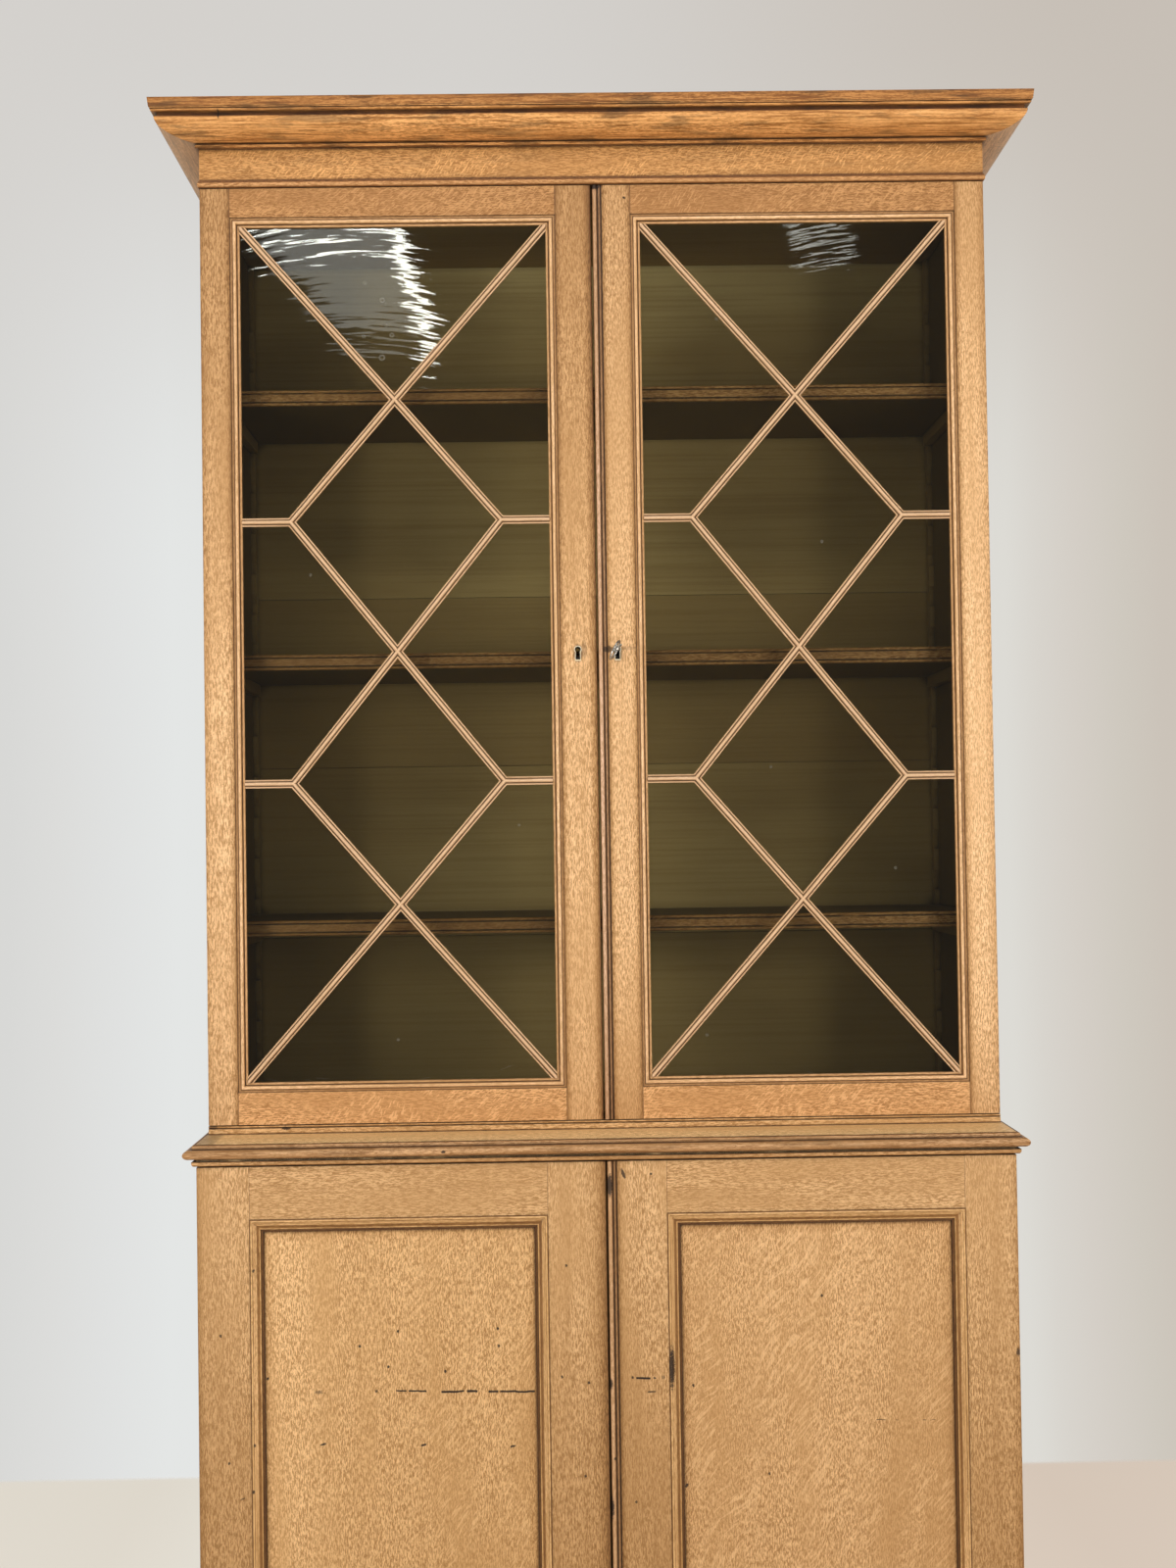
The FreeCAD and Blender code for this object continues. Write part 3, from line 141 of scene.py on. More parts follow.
class Recipe:
    """A node tree that is being filled in, for a material or for the world."""

    def __init__(self, owner):
        owner.use_nodes = True
        self.owner = owner
        self.nodes = owner.node_tree.nodes
        self.links = owner.node_tree.links

    def add(self, kind, settings=None, sockets=None, output=0):
        """Adds a node of any kind. Its settings come first, then the values or wires of its sockets."""
        node = self.nodes.new(kind)
        for name, value in (settings or {}).items():
            if name == "stops":
                self.set_stops(node.color_ramp, value)
            else:
                setattr(node, name, value)
        for key, value in (sockets or {}).items():
            self.feed(node.inputs[key], value)
        return Wire(self, node.outputs[output])

    def feed(self, socket, value):
        if isinstance(value, Wire):
            self.links.new(value.socket, socket)
        elif socket.type == "RGBA" and len(value) == 3:
            socket.default_value = (*value, 1)
        else:
            socket.default_value = value

    def set_stops(self, ramp, stops):
        while len(ramp.elements) < len(stops):
            ramp.elements.new(1)
        for element, (place, colour) in zip(ramp.elements, stops):
            element.position = place
            element.color = (*colour, 1)

    def noise(self, place, detail, roughness=0.5, distortion=0):
        """Soft random numbers from about 0.2 to 0.8, one cell for each unit of the place."""
        return self.add("ShaderNodeTexNoise", {"noise_dimensions": "3D"},
                        {"Vector": place, "Scale": 1, "Detail": detail, "Roughness": roughness,
                         "Distortion": distortion}, "Fac")

    def rise(self, value, low, high):
        """0 below low and 1 above high, with a soft climb between. It falls where low is above high."""
        if low > high:
            return 1 - self.rise(value, high, low)
        return self.add("ShaderNodeMapRange", {"interpolation_type": "SMOOTHSTEP"},
                        {0: value, 1: low, 2: high, 3: 0, 4: 1})

    def above(self, value, limit):
        """1 where the value is above the limit, and 0 elsewhere."""
        return self.add("ShaderNodeMath", {"operation": "GREATER_THAN"}, {0: value, 1: limit})

    def size_of(self, value):
        """The value without its sign."""
        return self.add("ShaderNodeMath", {"operation": "ABSOLUTE"}, {0: value})

    def length_of(self, vector):
        return self.add("ShaderNodeVectorMath", {"operation": "LENGTH"}, {0: vector}, "Value")

    def ramp(self, value, stops):
        """The colour of a ramp, whose stops are pairs of a position and a colour."""
        return self.add("ShaderNodeValToRGB", {"stops": stops}, {0: value})

    def blend(self, amount, low, high, way="MIX"):
        """A colour between two, where amount is a number or a mask."""
        return self.add("ShaderNodeMix", {"data_type": "RGBA", "blend_type": way},
                        {0: amount, 6: low, 7: high}, 2)

    def by_stops(self, tone, distance, stops):
        """A tone made darker and lighter along a line of stops: pairs of a distance in millimetres and an
        amount. A ramp is meant for colours up to 1, so amounts are divided first and multiplied back."""
        start, reach, brightest = stops[0][0], stops[-1][0] - stops[0][0], 1.8
        shares = [((mm - start) / reach, tuple(v / brightest for v in seasoned((1, 1, 1), amount)))
                  for mm, amount in stops]
        darkened = self.blend(1, tone, self.ramp((distance - start) / reach, shares), "MULTIPLY")
        return self.blend(1, darkened, (brightest, brightest, brightest), "MULTIPLY")

    def split(self, vector):
        """The three numbers of a vector."""
        first = self.add("ShaderNodeSeparateXYZ", {}, {0: vector})
        node = first.socket.node
        return first, Wire(self, node.outputs[1]), Wire(self, node.outputs[2])

    def gather(self, x, y, z):
        return self.add("ShaderNodeCombineXYZ", {}, {0: x, 1: y, 2: z})

    def object_place(self):
        """Where a point of the surface is, in metres."""
        return self.add("ShaderNodeTexCoord", {}, {}, "Object")

    def xyz(self):
        """The same place as three numbers."""
        return self.split(self.object_place())

    def bump(self, strength, distance, height):
        """A normal that is tilted as if the height stood proud of the surface."""
        return self.add("ShaderNodeBump", {}, {"Strength": strength, "Distance": distance, "Height": height})

    def shader(self, **sockets):
        """Sets sockets of the material's own shader, written with underscores for spaces."""
        node = self.nodes["Principled BSDF"]
        for name, value in sockets.items():
            self.feed(node.inputs[name.replace("_", " ")], value)
        return Wire(self, node.outputs[0])

    def surface(self, shader):
        """Makes a shader the one that the material shows."""
        self.links.new(shader.socket, self.nodes["Material Output"].inputs["Surface"])


def new_recipe(name):
    return Recipe(bpy.data.materials.new(name))


def dress(material, *names):
    """Gives CAD nodes one material."""
    for name in names:
        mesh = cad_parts[name].data
        mesh.materials.clear()
        mesh.materials.append(material)


# %% [markdown]
# ## The room
# A pale plain room needs only a floor and a sky. The floor is one large sheet. Behind the cabinet a wall
# would stand in the way of anyone who walks round it, so from a metre behind the cabinet on, the sheet is
# see-through to the camera.


# %% Floor
def deselect_all():
    if bpy.context.object and bpy.context.object.mode != "OBJECT":
        bpy.ops.object.mode_set(mode="OBJECT")
    bpy.ops.object.select_all(action="DESELECT")


wall_line = 1.2
floor_seen_share = 0.78
floor_span = 1.8
floor_size, floor_drop = 16, 0.0006
deselect_all()
bpy.ops.mesh.primitive_plane_add(size=floor_size, location=(0, 0, -floor_drop))
floor = bpy.context.object
floor.name = "floor"

recipe = new_recipe("floor")
x, y, z = recipe.xyz()
floor_tone = recipe.blend(recipe.rise(x, -floor_span / 2, floor_span / 2), paint(246, 241, 232),
                          paint(240, 229, 216))
ground = recipe.shader(Base_Color=floor_tone, Roughness=0.7, Specular_IOR_Level=0.2)
seen = recipe.add("ShaderNodeLightPath", {}, {}, "Is Camera Ray")
stops = [(0.0, paint(233, 226, 213)), (0.22, paint(244, 240, 229)), (0.72, paint(238, 227, 212)),
         (0.85, paint(231, 215, 199)), (1.0, paint(224, 207, 191))]
bright_tone = recipe.ramp(x / floor_span + 0.5, stops)
as_seen = recipe.add("ShaderNodeEmission", {}, {"Color": bright_tone, "Strength": 1})
see_through = recipe.add("ShaderNodeBsdfTransparent")
beyond = recipe.rise(y, wall_line - 0.01, wall_line + 0.02) * seen
ground = recipe.add("ShaderNodeMixShader", {}, {0: seen * floor_seen_share, 1: ground, 2: as_seen})
recipe.surface(recipe.add("ShaderNodeMixShader", {}, {0: beyond, 1: ground, 2: see_through}))
floor.data.materials.append(recipe.owner)
print("floor laid, the wall's line is at", wall_line, "m")

# %% [markdown]
# ## The wall, and what the glass mirrors
# The sky can answer each kind of ray in its own way. The camera sees the wall's tones, the wood gets an even
# soft light, and the panes mirror a dim room with a window, its curtain and a lamp, drawn as bright patches.
# Real things behind the camera would be mirrored too, but they would also light and shade the cabinet.

# %% Sky
room_light = 0.36
window_glow = 13
curtain_glow = 1.3
window_level, window_slant = 0.25, 0.29
post_left, post_right, post_slant = 0.115, 0.124, 0.92
wall_span = 0.6
wall_tones = ((-0.243, (216, 216, 214)), (-0.222, (220, 220, 218)), (-0.197, (224, 225, 224)),
              (-0.171, (228, 230, 229)), (0.202, (221, 219, 213)), (0.2146, (216, 212, 205)),
              (0.231, (212, 206, 198)), (0.2516, (206, 200, 190)), (0.2677, (203, 195, 185)))
world = bpy.data.worlds.new("room")
bpy.context.scene.world = world
recipe = Recipe(world)
background = recipe.nodes["Background"]
across, forward, upward = recipe.split(recipe.add("ShaderNodeTexCoord", {}, {}, "Generated"))
seen = recipe.add("ShaderNodeLightPath", {}, {}, "Is Camera Ray")
glossy = recipe.add("ShaderNodeLightPath", {}, {}, "Is Glossy Ray")
stops = [(0.5 + place / wall_span, paint(*tone)) for place, tone in wall_tones]
wall_seen = recipe.ramp(across / wall_span + 0.5, stops)
high_tones = recipe.blend(recipe.rise(across, -0.05, 0.25), paint(212, 209, 205), paint(199, 191, 182))
wall_seen = recipe.blend(recipe.rise(upward, 0.12, 0.36), wall_seen, high_tones)
room_behind = recipe.rise(forward, 0, -0.2)
above = upward / forward * -1
straight_aside = across / forward * -1
aside = straight_aside + (above - window_level) * window_slant
past_the_post = recipe.rise(straight_aside + above * post_slant, post_left, post_right)


def patch_of_room(left, right, bottom, top, soft):
    """A slanted patch of the room behind the camera, by its slopes aside and upward."""
    wide = recipe.rise(aside, left - soft, left + soft) * recipe.rise(aside, right + soft, right - soft)
    tall = recipe.rise(above, bottom - soft, bottom + soft) * recipe.rise(above, top + soft, top - soft)
    return wide * tall * room_behind


curtain = patch_of_room(-0.15, -0.066, 0.232, 0.3, 0.003)
window = patch_of_room(-0.066, -0.0595, 0.222, 0.3, 0.0008) + patch_of_room(-0.15, -0.066, 0.28, 0.292, 0.003)
lantern = patch_of_room(0.118, 0.145, 0.268, 0.281, 0.002) * 0.25
glow = (curtain * curtain_glow + window * window_glow) * past_the_post + lantern * window_glow
dim_room = recipe.blend(room_behind, paint(210, 206, 202), (0.05, 0.05, 0.05))
lit_room = recipe.blend(1, dim_room, recipe.gather(glow, glow, glow * 0.97), "ADD")
soft_light = (room_light, room_light, room_light)
other = recipe.blend(glossy, soft_light, lit_room)
recipe.feed(background.inputs["Color"], recipe.blend(seen, other, wall_seen))
print("the room's own light is", room_light)


# %% [markdown]
# ## Lamps
# The light in the picture is soft and comes from the front at chest height, so the middle of the cabinet is
# the palest and it falls off towards the cornice and the floor. Two broad lamps stand between the camera and
# the cabinet, far enough aside that the glass doesn't mirror them into it, and one hangs above, farther off.
# A lamp that is near loses strength with distance, which gives part of that fall. The rest is painted into
# the wood.


# %% Lamps
def softbox(name, place, target, width, height, watts, tint):
    """A rectangular lamp that looks at a target, and that the camera itself doesn't see."""
    bpy.ops.object.light_add(type="AREA", location=place)
    lamp = bpy.context.object
    lamp.name = name
    lamp.rotation_euler = (Vector(target) - Vector(place)).to_track_quat("-Z", "Y").to_euler()
    lamp.data.shape = "RECTANGLE"
    lamp.data.size = width
    lamp.data.size_y = height
    lamp.data.energy = watts
    lamp.data.color = tint
    lamp.visible_camera = False


deselect_all()
softbox("left_lamp", (-1.95, -2.6, 1.5), (-0.1, -0.15, 1.35), 1.3, 0.9, 33, (1, 0.985, 0.955))
softbox("right_lamp", (2.0, -2.6, 1.55), (0.1, -0.15, 1.4), 1.3, 0.9, 36, (1, 0.98, 0.95))
softbox("top_lamp", (-0.2, -2.6, 3.9), (0, -0.15, 1.3), 2.4, 1.0, 44, (1, 0.985, 0.955))

# %% [markdown]
# ## Which way the grain runs
# Wood is a bundle of long fibres, so every pattern on it is stretched along the board. A carpenter lays that
# direction upright in stiles and panels and level in rails and shelves, and a moulding follows its own
# length. Each function below turns a point in the cabinet into three numbers: along the grain, across it, and
# into the board. Where one node holds boards of two directions, a mask picks the right one, and changes at
# the mitre.


# %% Grain directions
def laid(order):
    """For boards that lie one way. The letters say what runs along, across and into the board."""

    def direction(recipe):
        numbers = dict(zip("xyz", recipe.xyz()))
        return recipe.gather(*[numbers[letter] for letter in order])

    return direction


upright, level, flat_board, front_to_back = [laid(order) for order in ("zxy", "xzy", "xyz", "yzx")]


# The next length of a moulding is cut from elsewhere in the tree, so its grain is shifted.
elsewhere = 7


def picked(recipe, mask, one, two):
    """The first vector, or the second where the mask is 1."""
    return one + (two - one) * recipe.gather(mask, mask, mask)


def round_the_front(half_width, face_y):
    """For a moulding across the front that returns along both sides."""

    def direction(recipe):
        x, y, z = recipe.xyz()
        on_return = recipe.above((recipe.size_of(x) - half_width) + y, face_y)
        return picked(recipe, on_return, recipe.gather(x, z, y), recipe.gather(y + elsewhere, z, x))

    return direction


def from_rim(recipe, node):
    """How far a point is from the nearer side and the nearer end of a node's box, seen from the front."""
    low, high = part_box(node)
    x, y, z = recipe.xyz()
    from_side = (high.x - low.x) / 2 - recipe.size_of(x - (low.x + high.x) / 2)
    from_end = (high.z - low.z) / 2 - recipe.size_of(z - (low.z + high.z) / 2)
    return from_side, from_end


def round_an_opening(node):
    """For four mitred lengths inside an opening, whose place is read from the node's own box."""

    def direction(recipe):
        x, y, z = recipe.xyz()
        from_side, from_end = from_rim(recipe, node)
        on_side = recipe.above(from_end - from_side, 0)
        return picked(recipe, on_side, recipe.gather(x, z, y), recipe.gather(z + elsewhere, x, y))

    return direction


def along_bars(recipe):
    """For bars that lie in the door at any angle: their own faces tell which way they run."""
    normal = recipe.add("ShaderNodeTexCoord", {}, {}, "Normal")
    flat = recipe.add("ShaderNodeVectorMath", {"operation": "NORMALIZE"}, {0: normal * (1, 0, 1)})
    nx, ny, nz = recipe.split(flat)
    x, y, z = recipe.xyz()
    return recipe.gather(x * nz - z * nx, x * nx + z * nz, y)


# %% [markdown]
# ## Quarter-sawn oak
# Oak sawn towards the heart of the tree is covered with short fibres, pale straw on brown, and pale thin
# flecks cross them at a slant. Old wax and dust have settled in every corner, and shade falls there as well,
# so the corners are darkened as dirt and as painted shade. A picture of oak could be laid on, but it would
# repeat and blur. Noise is better: squeezed across the grain and drawn out along it, it gives fibres; turned
# and cut off, it gives flecks. The Ambient Occlusion node finds the corners, because there few directions are
# open to the sky. Darker oak is also redder, so each tone is made from the mean tone by one rule.


# %% Tones of oak
def seasoned(colour, amount):
    """The same wood lighter or darker: blue changes most and red least."""
    red, green, blue = colour
    return red * amount, green * amount ** 1.27, blue * amount ** 1.8


def corner_dirt(recipe, reach, low, high):
    """1 deep in corners and 0 on open faces. It darkens a colour for grime and for painted shade, which both
    gather there.
    """
    openness = recipe.add("ShaderNodeAmbientOcclusion", {"samples": 6}, {"Distance": reach}, "AO")
    return recipe.rise(openness, high, low)


def near(recipe, value, place, reach):
    """1 where the value is at the place, falling to 0 at the reach."""
    return recipe.rise(recipe.size_of(value - place), reach, 0)


# %% [markdown]
# ## Lines of painted light and shade, and dirt
# Dusters polish what stands proud and leave the dirt in the quirks, and the light catches the crowns while
# shade falls in the quirks, so a moulding is a row of thin dark and pale lines. The pale lines are painted
# highlights, and the dark lines are painted shade and dirt. The corner mask finds deep corners, but not these
# shallow ones. They are drawn as a strip instead: a distance, such as how far a point is inside an opening,
# goes through a Color Ramp whose stops hold the lines. Laid along the height, the same strips paint the light
# that falls off towards the cornice and the floor.


# %% Distances
def height(recipe):
    """How high a point is. This and all that follow are in millimetres."""
    return recipe.xyz()[2] * 1000


def right_of(place_x):
    return lambda recipe: (recipe.xyz()[0] - place_x) * 1000


def from_line(place_x):
    """How far a point is from an upright line, to either side."""
    return lambda recipe: recipe.size_of(recipe.xyz()[0] - place_x) * 1000


def behind_face(face_y):
    return lambda recipe: (recipe.xyz()[1] - face_y) * 1000


def inside_of(node):
    """How far a point is inside the rectangle that a node fills, seen from the front."""

    def measure(recipe):
        from_side, from_end = from_rim(recipe, node)
        return recipe.add("ShaderNodeMath", {"operation": "MINIMUM"}, {0: from_side, 1: from_end}) * 1000

    return measure


def front_of(node, distance):
    """The same distance on the front half of a node, and a very large one on its back."""
    low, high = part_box(node)
    middle = (low.y + high.y) / 2

    def measure(recipe):
        on_back = recipe.rise(recipe.xyz()[1], middle - 0.001, middle + 0.001)
        return distance(recipe) + on_back * 1000

    return measure


# %% [markdown]
# ## Marks
# Long use leaves chips, worm holes and cracks. Beside the key, dark smears are painted shadows of its bow and
# shank. Each is a small mask at its own place on the front: an oval whose outline is made ragged by noise, or
# a line that wanders and breaks off.


# %% Marks
def spot(x, z, wide, tall, turn=0.0, ragged=1.0):
    """A ragged oval. The middle and the half sizes are in millimetres."""

    def mask(recipe):
        place = recipe.object_place()
        px, py, pz = recipe.split(place)
        right, up = px - x / 1000, pz - z / 1000
        cos, sin = math.cos(math.radians(turn)), math.sin(math.radians(turn))
        u = (right * cos + up * sin) * (1000 / wide)
        v = (up * cos - right * sin) * (1000 / tall)
        rough_edge = (recipe.noise(place * 600, 2) - 0.5) * ragged * 3
        return recipe.rise(u * u + v * v + rough_edge, 1.5, 0.5)

    return mask


def crack(x1, z1, x2, z2, wide, wander=2.0, whole=0.45):
    """A thin dark line between two places, which wanders and breaks off. All in millimetres but the last."""

    def mask(recipe):
        place = recipe.object_place()
        px, py, pz = recipe.split(place)
        length = math.hypot(x2 - x1, z2 - z1) / 1000
        cos, sin = (x2 - x1) / 1000 / length, (z2 - z1) / 1000 / length
        right, up = px - x1 / 1000, pz - z1 / 1000
        along = right * cos + up * sin
        off = up * cos - right * sin + (recipe.noise(place * 45, 2) - 0.5) * (wander / 400)
        line = recipe.rise(recipe.size_of(off), wide / 1000, wide / 3000)
        ends = recipe.above(along, 0) * recipe.above(length - along, 0)
        return line * ends * recipe.rise(recipe.noise(place * 95, 2), whole, whole - 0.08)

    return mask


lock_height = 1575
hole_middle = {"left": -30.5, "right": 27.5}
hole_radius, foot_half, foot_length, widening = 4.5, 3.1, 15, 0.03


# Painted shade: the inside of a keyhole is painted nearly black, on the lining and on the stile behind it.
def keyhole_shade(side):
    """The hole inside a lock's lining, as a mask for painted shade: a round head over a foot that widens
    downward. In millimetres.
    """

    def mask(recipe):
        x, y, z = recipe.xyz()
        right, up = x * 1000 - hole_middle[side], z * 1000 - lock_height
        head = recipe.rise(right * right + up * up, hole_radius ** 2, (hole_radius - 0.4) ** 2)
        foot = recipe.rise(recipe.size_of(right) + up * widening, foot_half, foot_half - 0.3)
        return head + foot * recipe.rise(up, 0.5, -0.5) * recipe.rise(up, -foot_length, 0.5 - foot_length)

    return mask


# %% Oak
def own_shift(seed):
    """A random way along, across and into the noise, so that no two boards are cut from the same place."""
    shift = random.Random(seed)
    return shift.uniform(0, 9), shift.uniform(0, 9), shift.uniform(0, 9)


def oak(name, colour, direction, seed, cells=(125, 640), fibre=1.0, rings=0.3, flecks=0.0, slant=45,
        rays=(50, 460), ray_share=0.57, area=None, streaks=0.0, weather=0.0, dirt=0.9, reach=0.005, lines=(),
        joints=(), marks=(), unwaxed=None, dusty=paint(118, 94, 52)):
    """Oak of one mean tone, whose grain runs as the direction says. Lines are pairs of a distance and its
    stops, joints are thin dark lines, and marks are pairs of a mask and its strength. Area is where across
    the front the flecks fade in, and unwaxed is a mask of where the wood was never finished."""
    recipe = new_recipe(name)
    lie = direction(recipe) + own_shift(seed)
    along, across, deep = recipe.split(lie)
    x, y, z = recipe.xyz()
    value = recipe.noise(lie * (cells[0], cells[1], cells[1]), 3, 0.7, 0.4)
    amount = recipe.rise(value, 0.41, 0.59)
    tone = recipe.blend(amount * fibre + 0.5 * (1 - fibre), seasoned(colour, 0.6), seasoned(colour, 1.26))
    # Each layer has its cells along and across, its detail, where its mask rises, its share and its shade.
    pores = (cells[0] * 0.6, cells[1] * 1.2, 1, 0.6, 0.72, 0.5 * fibre, 0.45)
    clouds = (3, 16, 2, 0.35, 0.68, 0.6, 0.8)
    years = (1.5, 75, 2, 0.48, 0.7, rings, 0.68)
    for length, width, detail, low, high, share, shade in (pores, clouds, years):
        mask = recipe.rise(recipe.noise(lie * (length, width, width), detail), low, high)
        tone = recipe.blend(mask * share, tone, seasoned(colour, shade))
    if streaks:
        streak = recipe.noise(lie * (12, 300, 300), 3, 0.68, 0.6)
        tone = recipe.blend(recipe.rise(streak, 0.53, 0.61) * streaks, tone, seasoned(colour, 0.42))
        tone = recipe.blend(recipe.rise(streak, 0.47, 0.38) * streaks * 0.7, tone, seasoned(colour, 1.32))
    if flecks:
        cos, sin = math.cos(math.radians(slant)), math.sin(math.radians(slant))
        bend = (recipe.noise(lie * (6, 9, 9), 1) - 0.5) * 0.05
        turned = recipe.gather(along * cos + across * sin, across * cos - along * sin + bend, deep)
        ray = recipe.noise(turned * (rays[0], rays[1], 90), 1, 0.5, 0.3)
        ray = recipe.rise(ray, ray_share, ray_share + 0.07)
        patch = recipe.rise(recipe.noise(lie * (9, 20, 20), 1), 0.36, 0.56)
        if area:
            patch = patch * recipe.rise(x, area[0], area[1])
        tone = recipe.blend(ray * patch * flecks, tone, seasoned(colour, 1.42))
    if weather:
        stain = recipe.rise(recipe.noise(lie * (14, 70, 70), 3, 0.6), 0.5, 0.66)
        tone = recipe.blend(stain * weather, tone, paint(74, 56, 30))
    if unwaxed:
        tone = recipe.blend(unwaxed(recipe), tone, dusty)
    for distance, stops in lines:
        tone = recipe.by_stops(tone, distance(recipe), stops)
    for place in joints:
        tone = recipe.blend(near(recipe, x, place, 0.0012) * 0.8, tone, paint(60, 36, 20))
    # Painted shade and dirt: the corners that the occlusion finds are darkened, in patches.
    dust = recipe.rise(recipe.noise(lie * (25, 60, 60), 2), 0.15, 0.5)
    tone = recipe.blend(corner_dirt(recipe, reach, 0.5, 0.92) * dust * dirt, tone, paint(38, 25, 13))
    speck = recipe.rise(recipe.noise(lie * (260, 380, 380), 1), 0.76, 0.82)
    tone = recipe.blend(speck * 0.6, tone, paint(62, 38, 20))
    bump_height = value - amount * 0.3
    for mask, strength in marks:
        hollow = mask(recipe)
        tone = recipe.blend(hollow * strength, tone, paint(34, 20, 11))
        bump_height = bump_height - hollow * 1.5
    bump = recipe.bump(0.3, 0.0004, bump_height)
    recipe.shader(Base_Color=tone, Roughness=0.55 + (0.5 - value) * 0.3, Normal=bump, Specular_IOR_Level=0.35)
    return recipe.owner


# %% [markdown]
# ## Which oak goes where
# The stiles are the palest oak. The rails are darker, and the cornice is the darkest, with long streaks,
# because its moulding planes cut through many layers of the tree.

# %% Tones and lines of the upper doors
stile_oak = paint(217, 171, 118)
rail_oak = paint(198, 146, 90)
moulding_oak = paint(212, 165, 113)
bead_oak = paint(205, 162, 124)
# Painted shade and dirt: the stiles darken towards their edges, by a moulding, along a hinge, at the lock and
# past the closing bead.
shade_by_a_moulding = [(0, 0.45), (1.5, 0.6), (4, 0.82), (9, 1)]
shade_by_a_hinge = [(0, 0.72), (5, 0.86), (12, 1)]
shade_by_the_lock = [(0, 0.3), (2.5, 0.34), (3.6, 0.52), (7, 0.68), (12, 0.95), (14, 1)]
shade_past_the_bead = [(0, 0.5), (2, 0.66), (5, 0.88), (8, 1)]
# Painted highlights and shade: pale lines on the crowns of the beads, and dark lines in the quirks, where
# dirt also lies.
glass_moulding_light_and_shade = [(0, 0.22), (0.7, 0.3), (1, 0.68), (3.2, 0.66), (3.6, 0.16), (4.3, 0.16), (4.9, 1.1),
                        (6, 1.28), (8, 1.28), (9.2, 0.85), (9.9, 0.3), (10.8, 0.3), (11.3, 0.9), (13.2, 0.9),
                        (14, 0.7)]
bar_light_and_shade = [(0, 1.22), (1.2, 1.15), (2.2, 0.88), (3.2, 0.75), (3.6, 0.95), (4, 1), (4.25, 0.3), (4.9, 0.3),
             (6, 0.6), (9, 0.8), (17, 0.8)]
bead_light_and_shade = [(0, 0.4), (0.7, 0.5), (1.5, 0.95), (3.5, 1.05), (5.5, 0.95), (6.3, 0.5), (6.8, 0.32),
              (8.2, 0.32), (8.8, 0.55), (11, 0.55), (11.5, 0.32), (13, 0.32), (14, 0.6)]
# Painted light: the upper doors are palest in the middle and darker towards the waist and the cornice, and
# the rails darker under the cornice.
upper_light_fall = {"left": [(880, 0.94), (930, 0.98), (1030, 1), (1200, 1.06), (1500, 1.06), (1700, 0.95),
                       (1850, 0.86), (2000, 0.77), (2257, 0.67)],
              "right": [(880, 0.87), (930, 0.94), (1030, 1.03), (1200, 1.1), (1500, 1.16), (1800, 1.08),
                        (2000, 0.97), (2257, 0.8)]}
rail_light_fall = [(891, 1.12), (940, 1.12), (2200, 0.8), (2257, 0.78)]
# Painted shadows: on both doors, the soft dark spots and the thin line beside the key stand for the shadows
# of the key's bow and shank. The small spot high on the right stile is a hole.
key_shadows_and_marks = {"left": [(spot(-21, lock_height, 4, 12, ragged=0.6), 0.3)],
              "right": [(spot(14, lock_height, 5.5, 5, ragged=0.3), 0.7),
                        (spot(59, lock_height, 5, 7, ragged=0.3), 0.5),
                        (spot(38, lock_height + 1, 22, 2.5, ragged=0.4), 0.18),
                        (spot(46.2, 2238.1, 1.8, 1.8), 0.9)]}

# %% Oak on the upper doors
bead_left, bead_right = [corner.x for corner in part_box("right_upper_closing_bead")]


def edge_shade(side, limits, at_the_lock):
    """The painted shade and grime along the edges of a door's stiles: along its hinges, and where the pair of
    doors meets.
    """
    if side == "left":
        return [(from_line(limits[0].x), shade_by_a_hinge), (from_line(limits[1].x), at_the_lock)]
    return [(from_line(limits[1].x), shade_by_a_hinge), (from_line(bead_right), shade_past_the_bead)]


def dress_opening(node, name, colour, seed, stops, **traits):
    """Oak for the mitred moulding inside a door, with lines of painted light and shade that follow it all the
    way round.
    """
    dress(oak(name, colour, round_an_opening(node), seed, lines=[(inside_of(node), stops)], **traits), node)


for number, side in enumerate(("left", "right")):
    door = side + "_upper_"
    low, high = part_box(door + "glass_moulding")
    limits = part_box(door + "stiles")
    stile_light_and_shade = [(height, upper_light_fall[side]), (from_line(low.x), shade_by_a_moulding),
                   (from_line(high.x), shade_by_a_moulding), *edge_shade(side, limits, shade_by_the_lock)]
    # Painted light: the right door's stile gets lighter towards its hinge side.
    if side == "right":
        stile_light_and_shade += [(right_of(limits[0].x), [(0, 0.96), (90, 0.96), (500, 1.08)])]
    # The stile is darkened in an oval round the lining, and painted nearly black inside the keyhole, as the
    # hole's shade.
    round_the_lining = spot(hole_middle[side], lock_height - 5.5, 6.8, 12.8, ragged=0.2)
    stile_marks_and_shade = key_shadows_and_marks[side] + [(round_the_lining, 0.6), (keyhole_shade(side), 1)]
    dress(oak(door + "stile_oak", stile_oak, upright, number + 1, lines=stile_light_and_shade, marks=stile_marks_and_shade),
          door + "stiles")
    dress(oak(door + "rail_oak", rail_oak, level, number + 3, flecks=0.55, rays=(95, 420), ray_share=0.55,
              joints=(low.x, high.x), lines=[(height, rail_light_fall)]), door + "rails")
    dress_opening(door + "glass_moulding", door + "moulding_oak", moulding_oak, number + 5,
                  glass_moulding_light_and_shade, fibre=0.6, streaks=0.3, reach=0.003, dirt=0.6)
    bar_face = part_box(door + "glazing_bars")[0].y
    dress(oak(door + "bar_oak", paint(214, 174, 131), along_bars, number + 7, fibre=0.5, streaks=0.25,
              reach=0.003, dirt=0.6, lines=[(behind_face(bar_face), bar_light_and_shade)]), door + "glazing_bars")
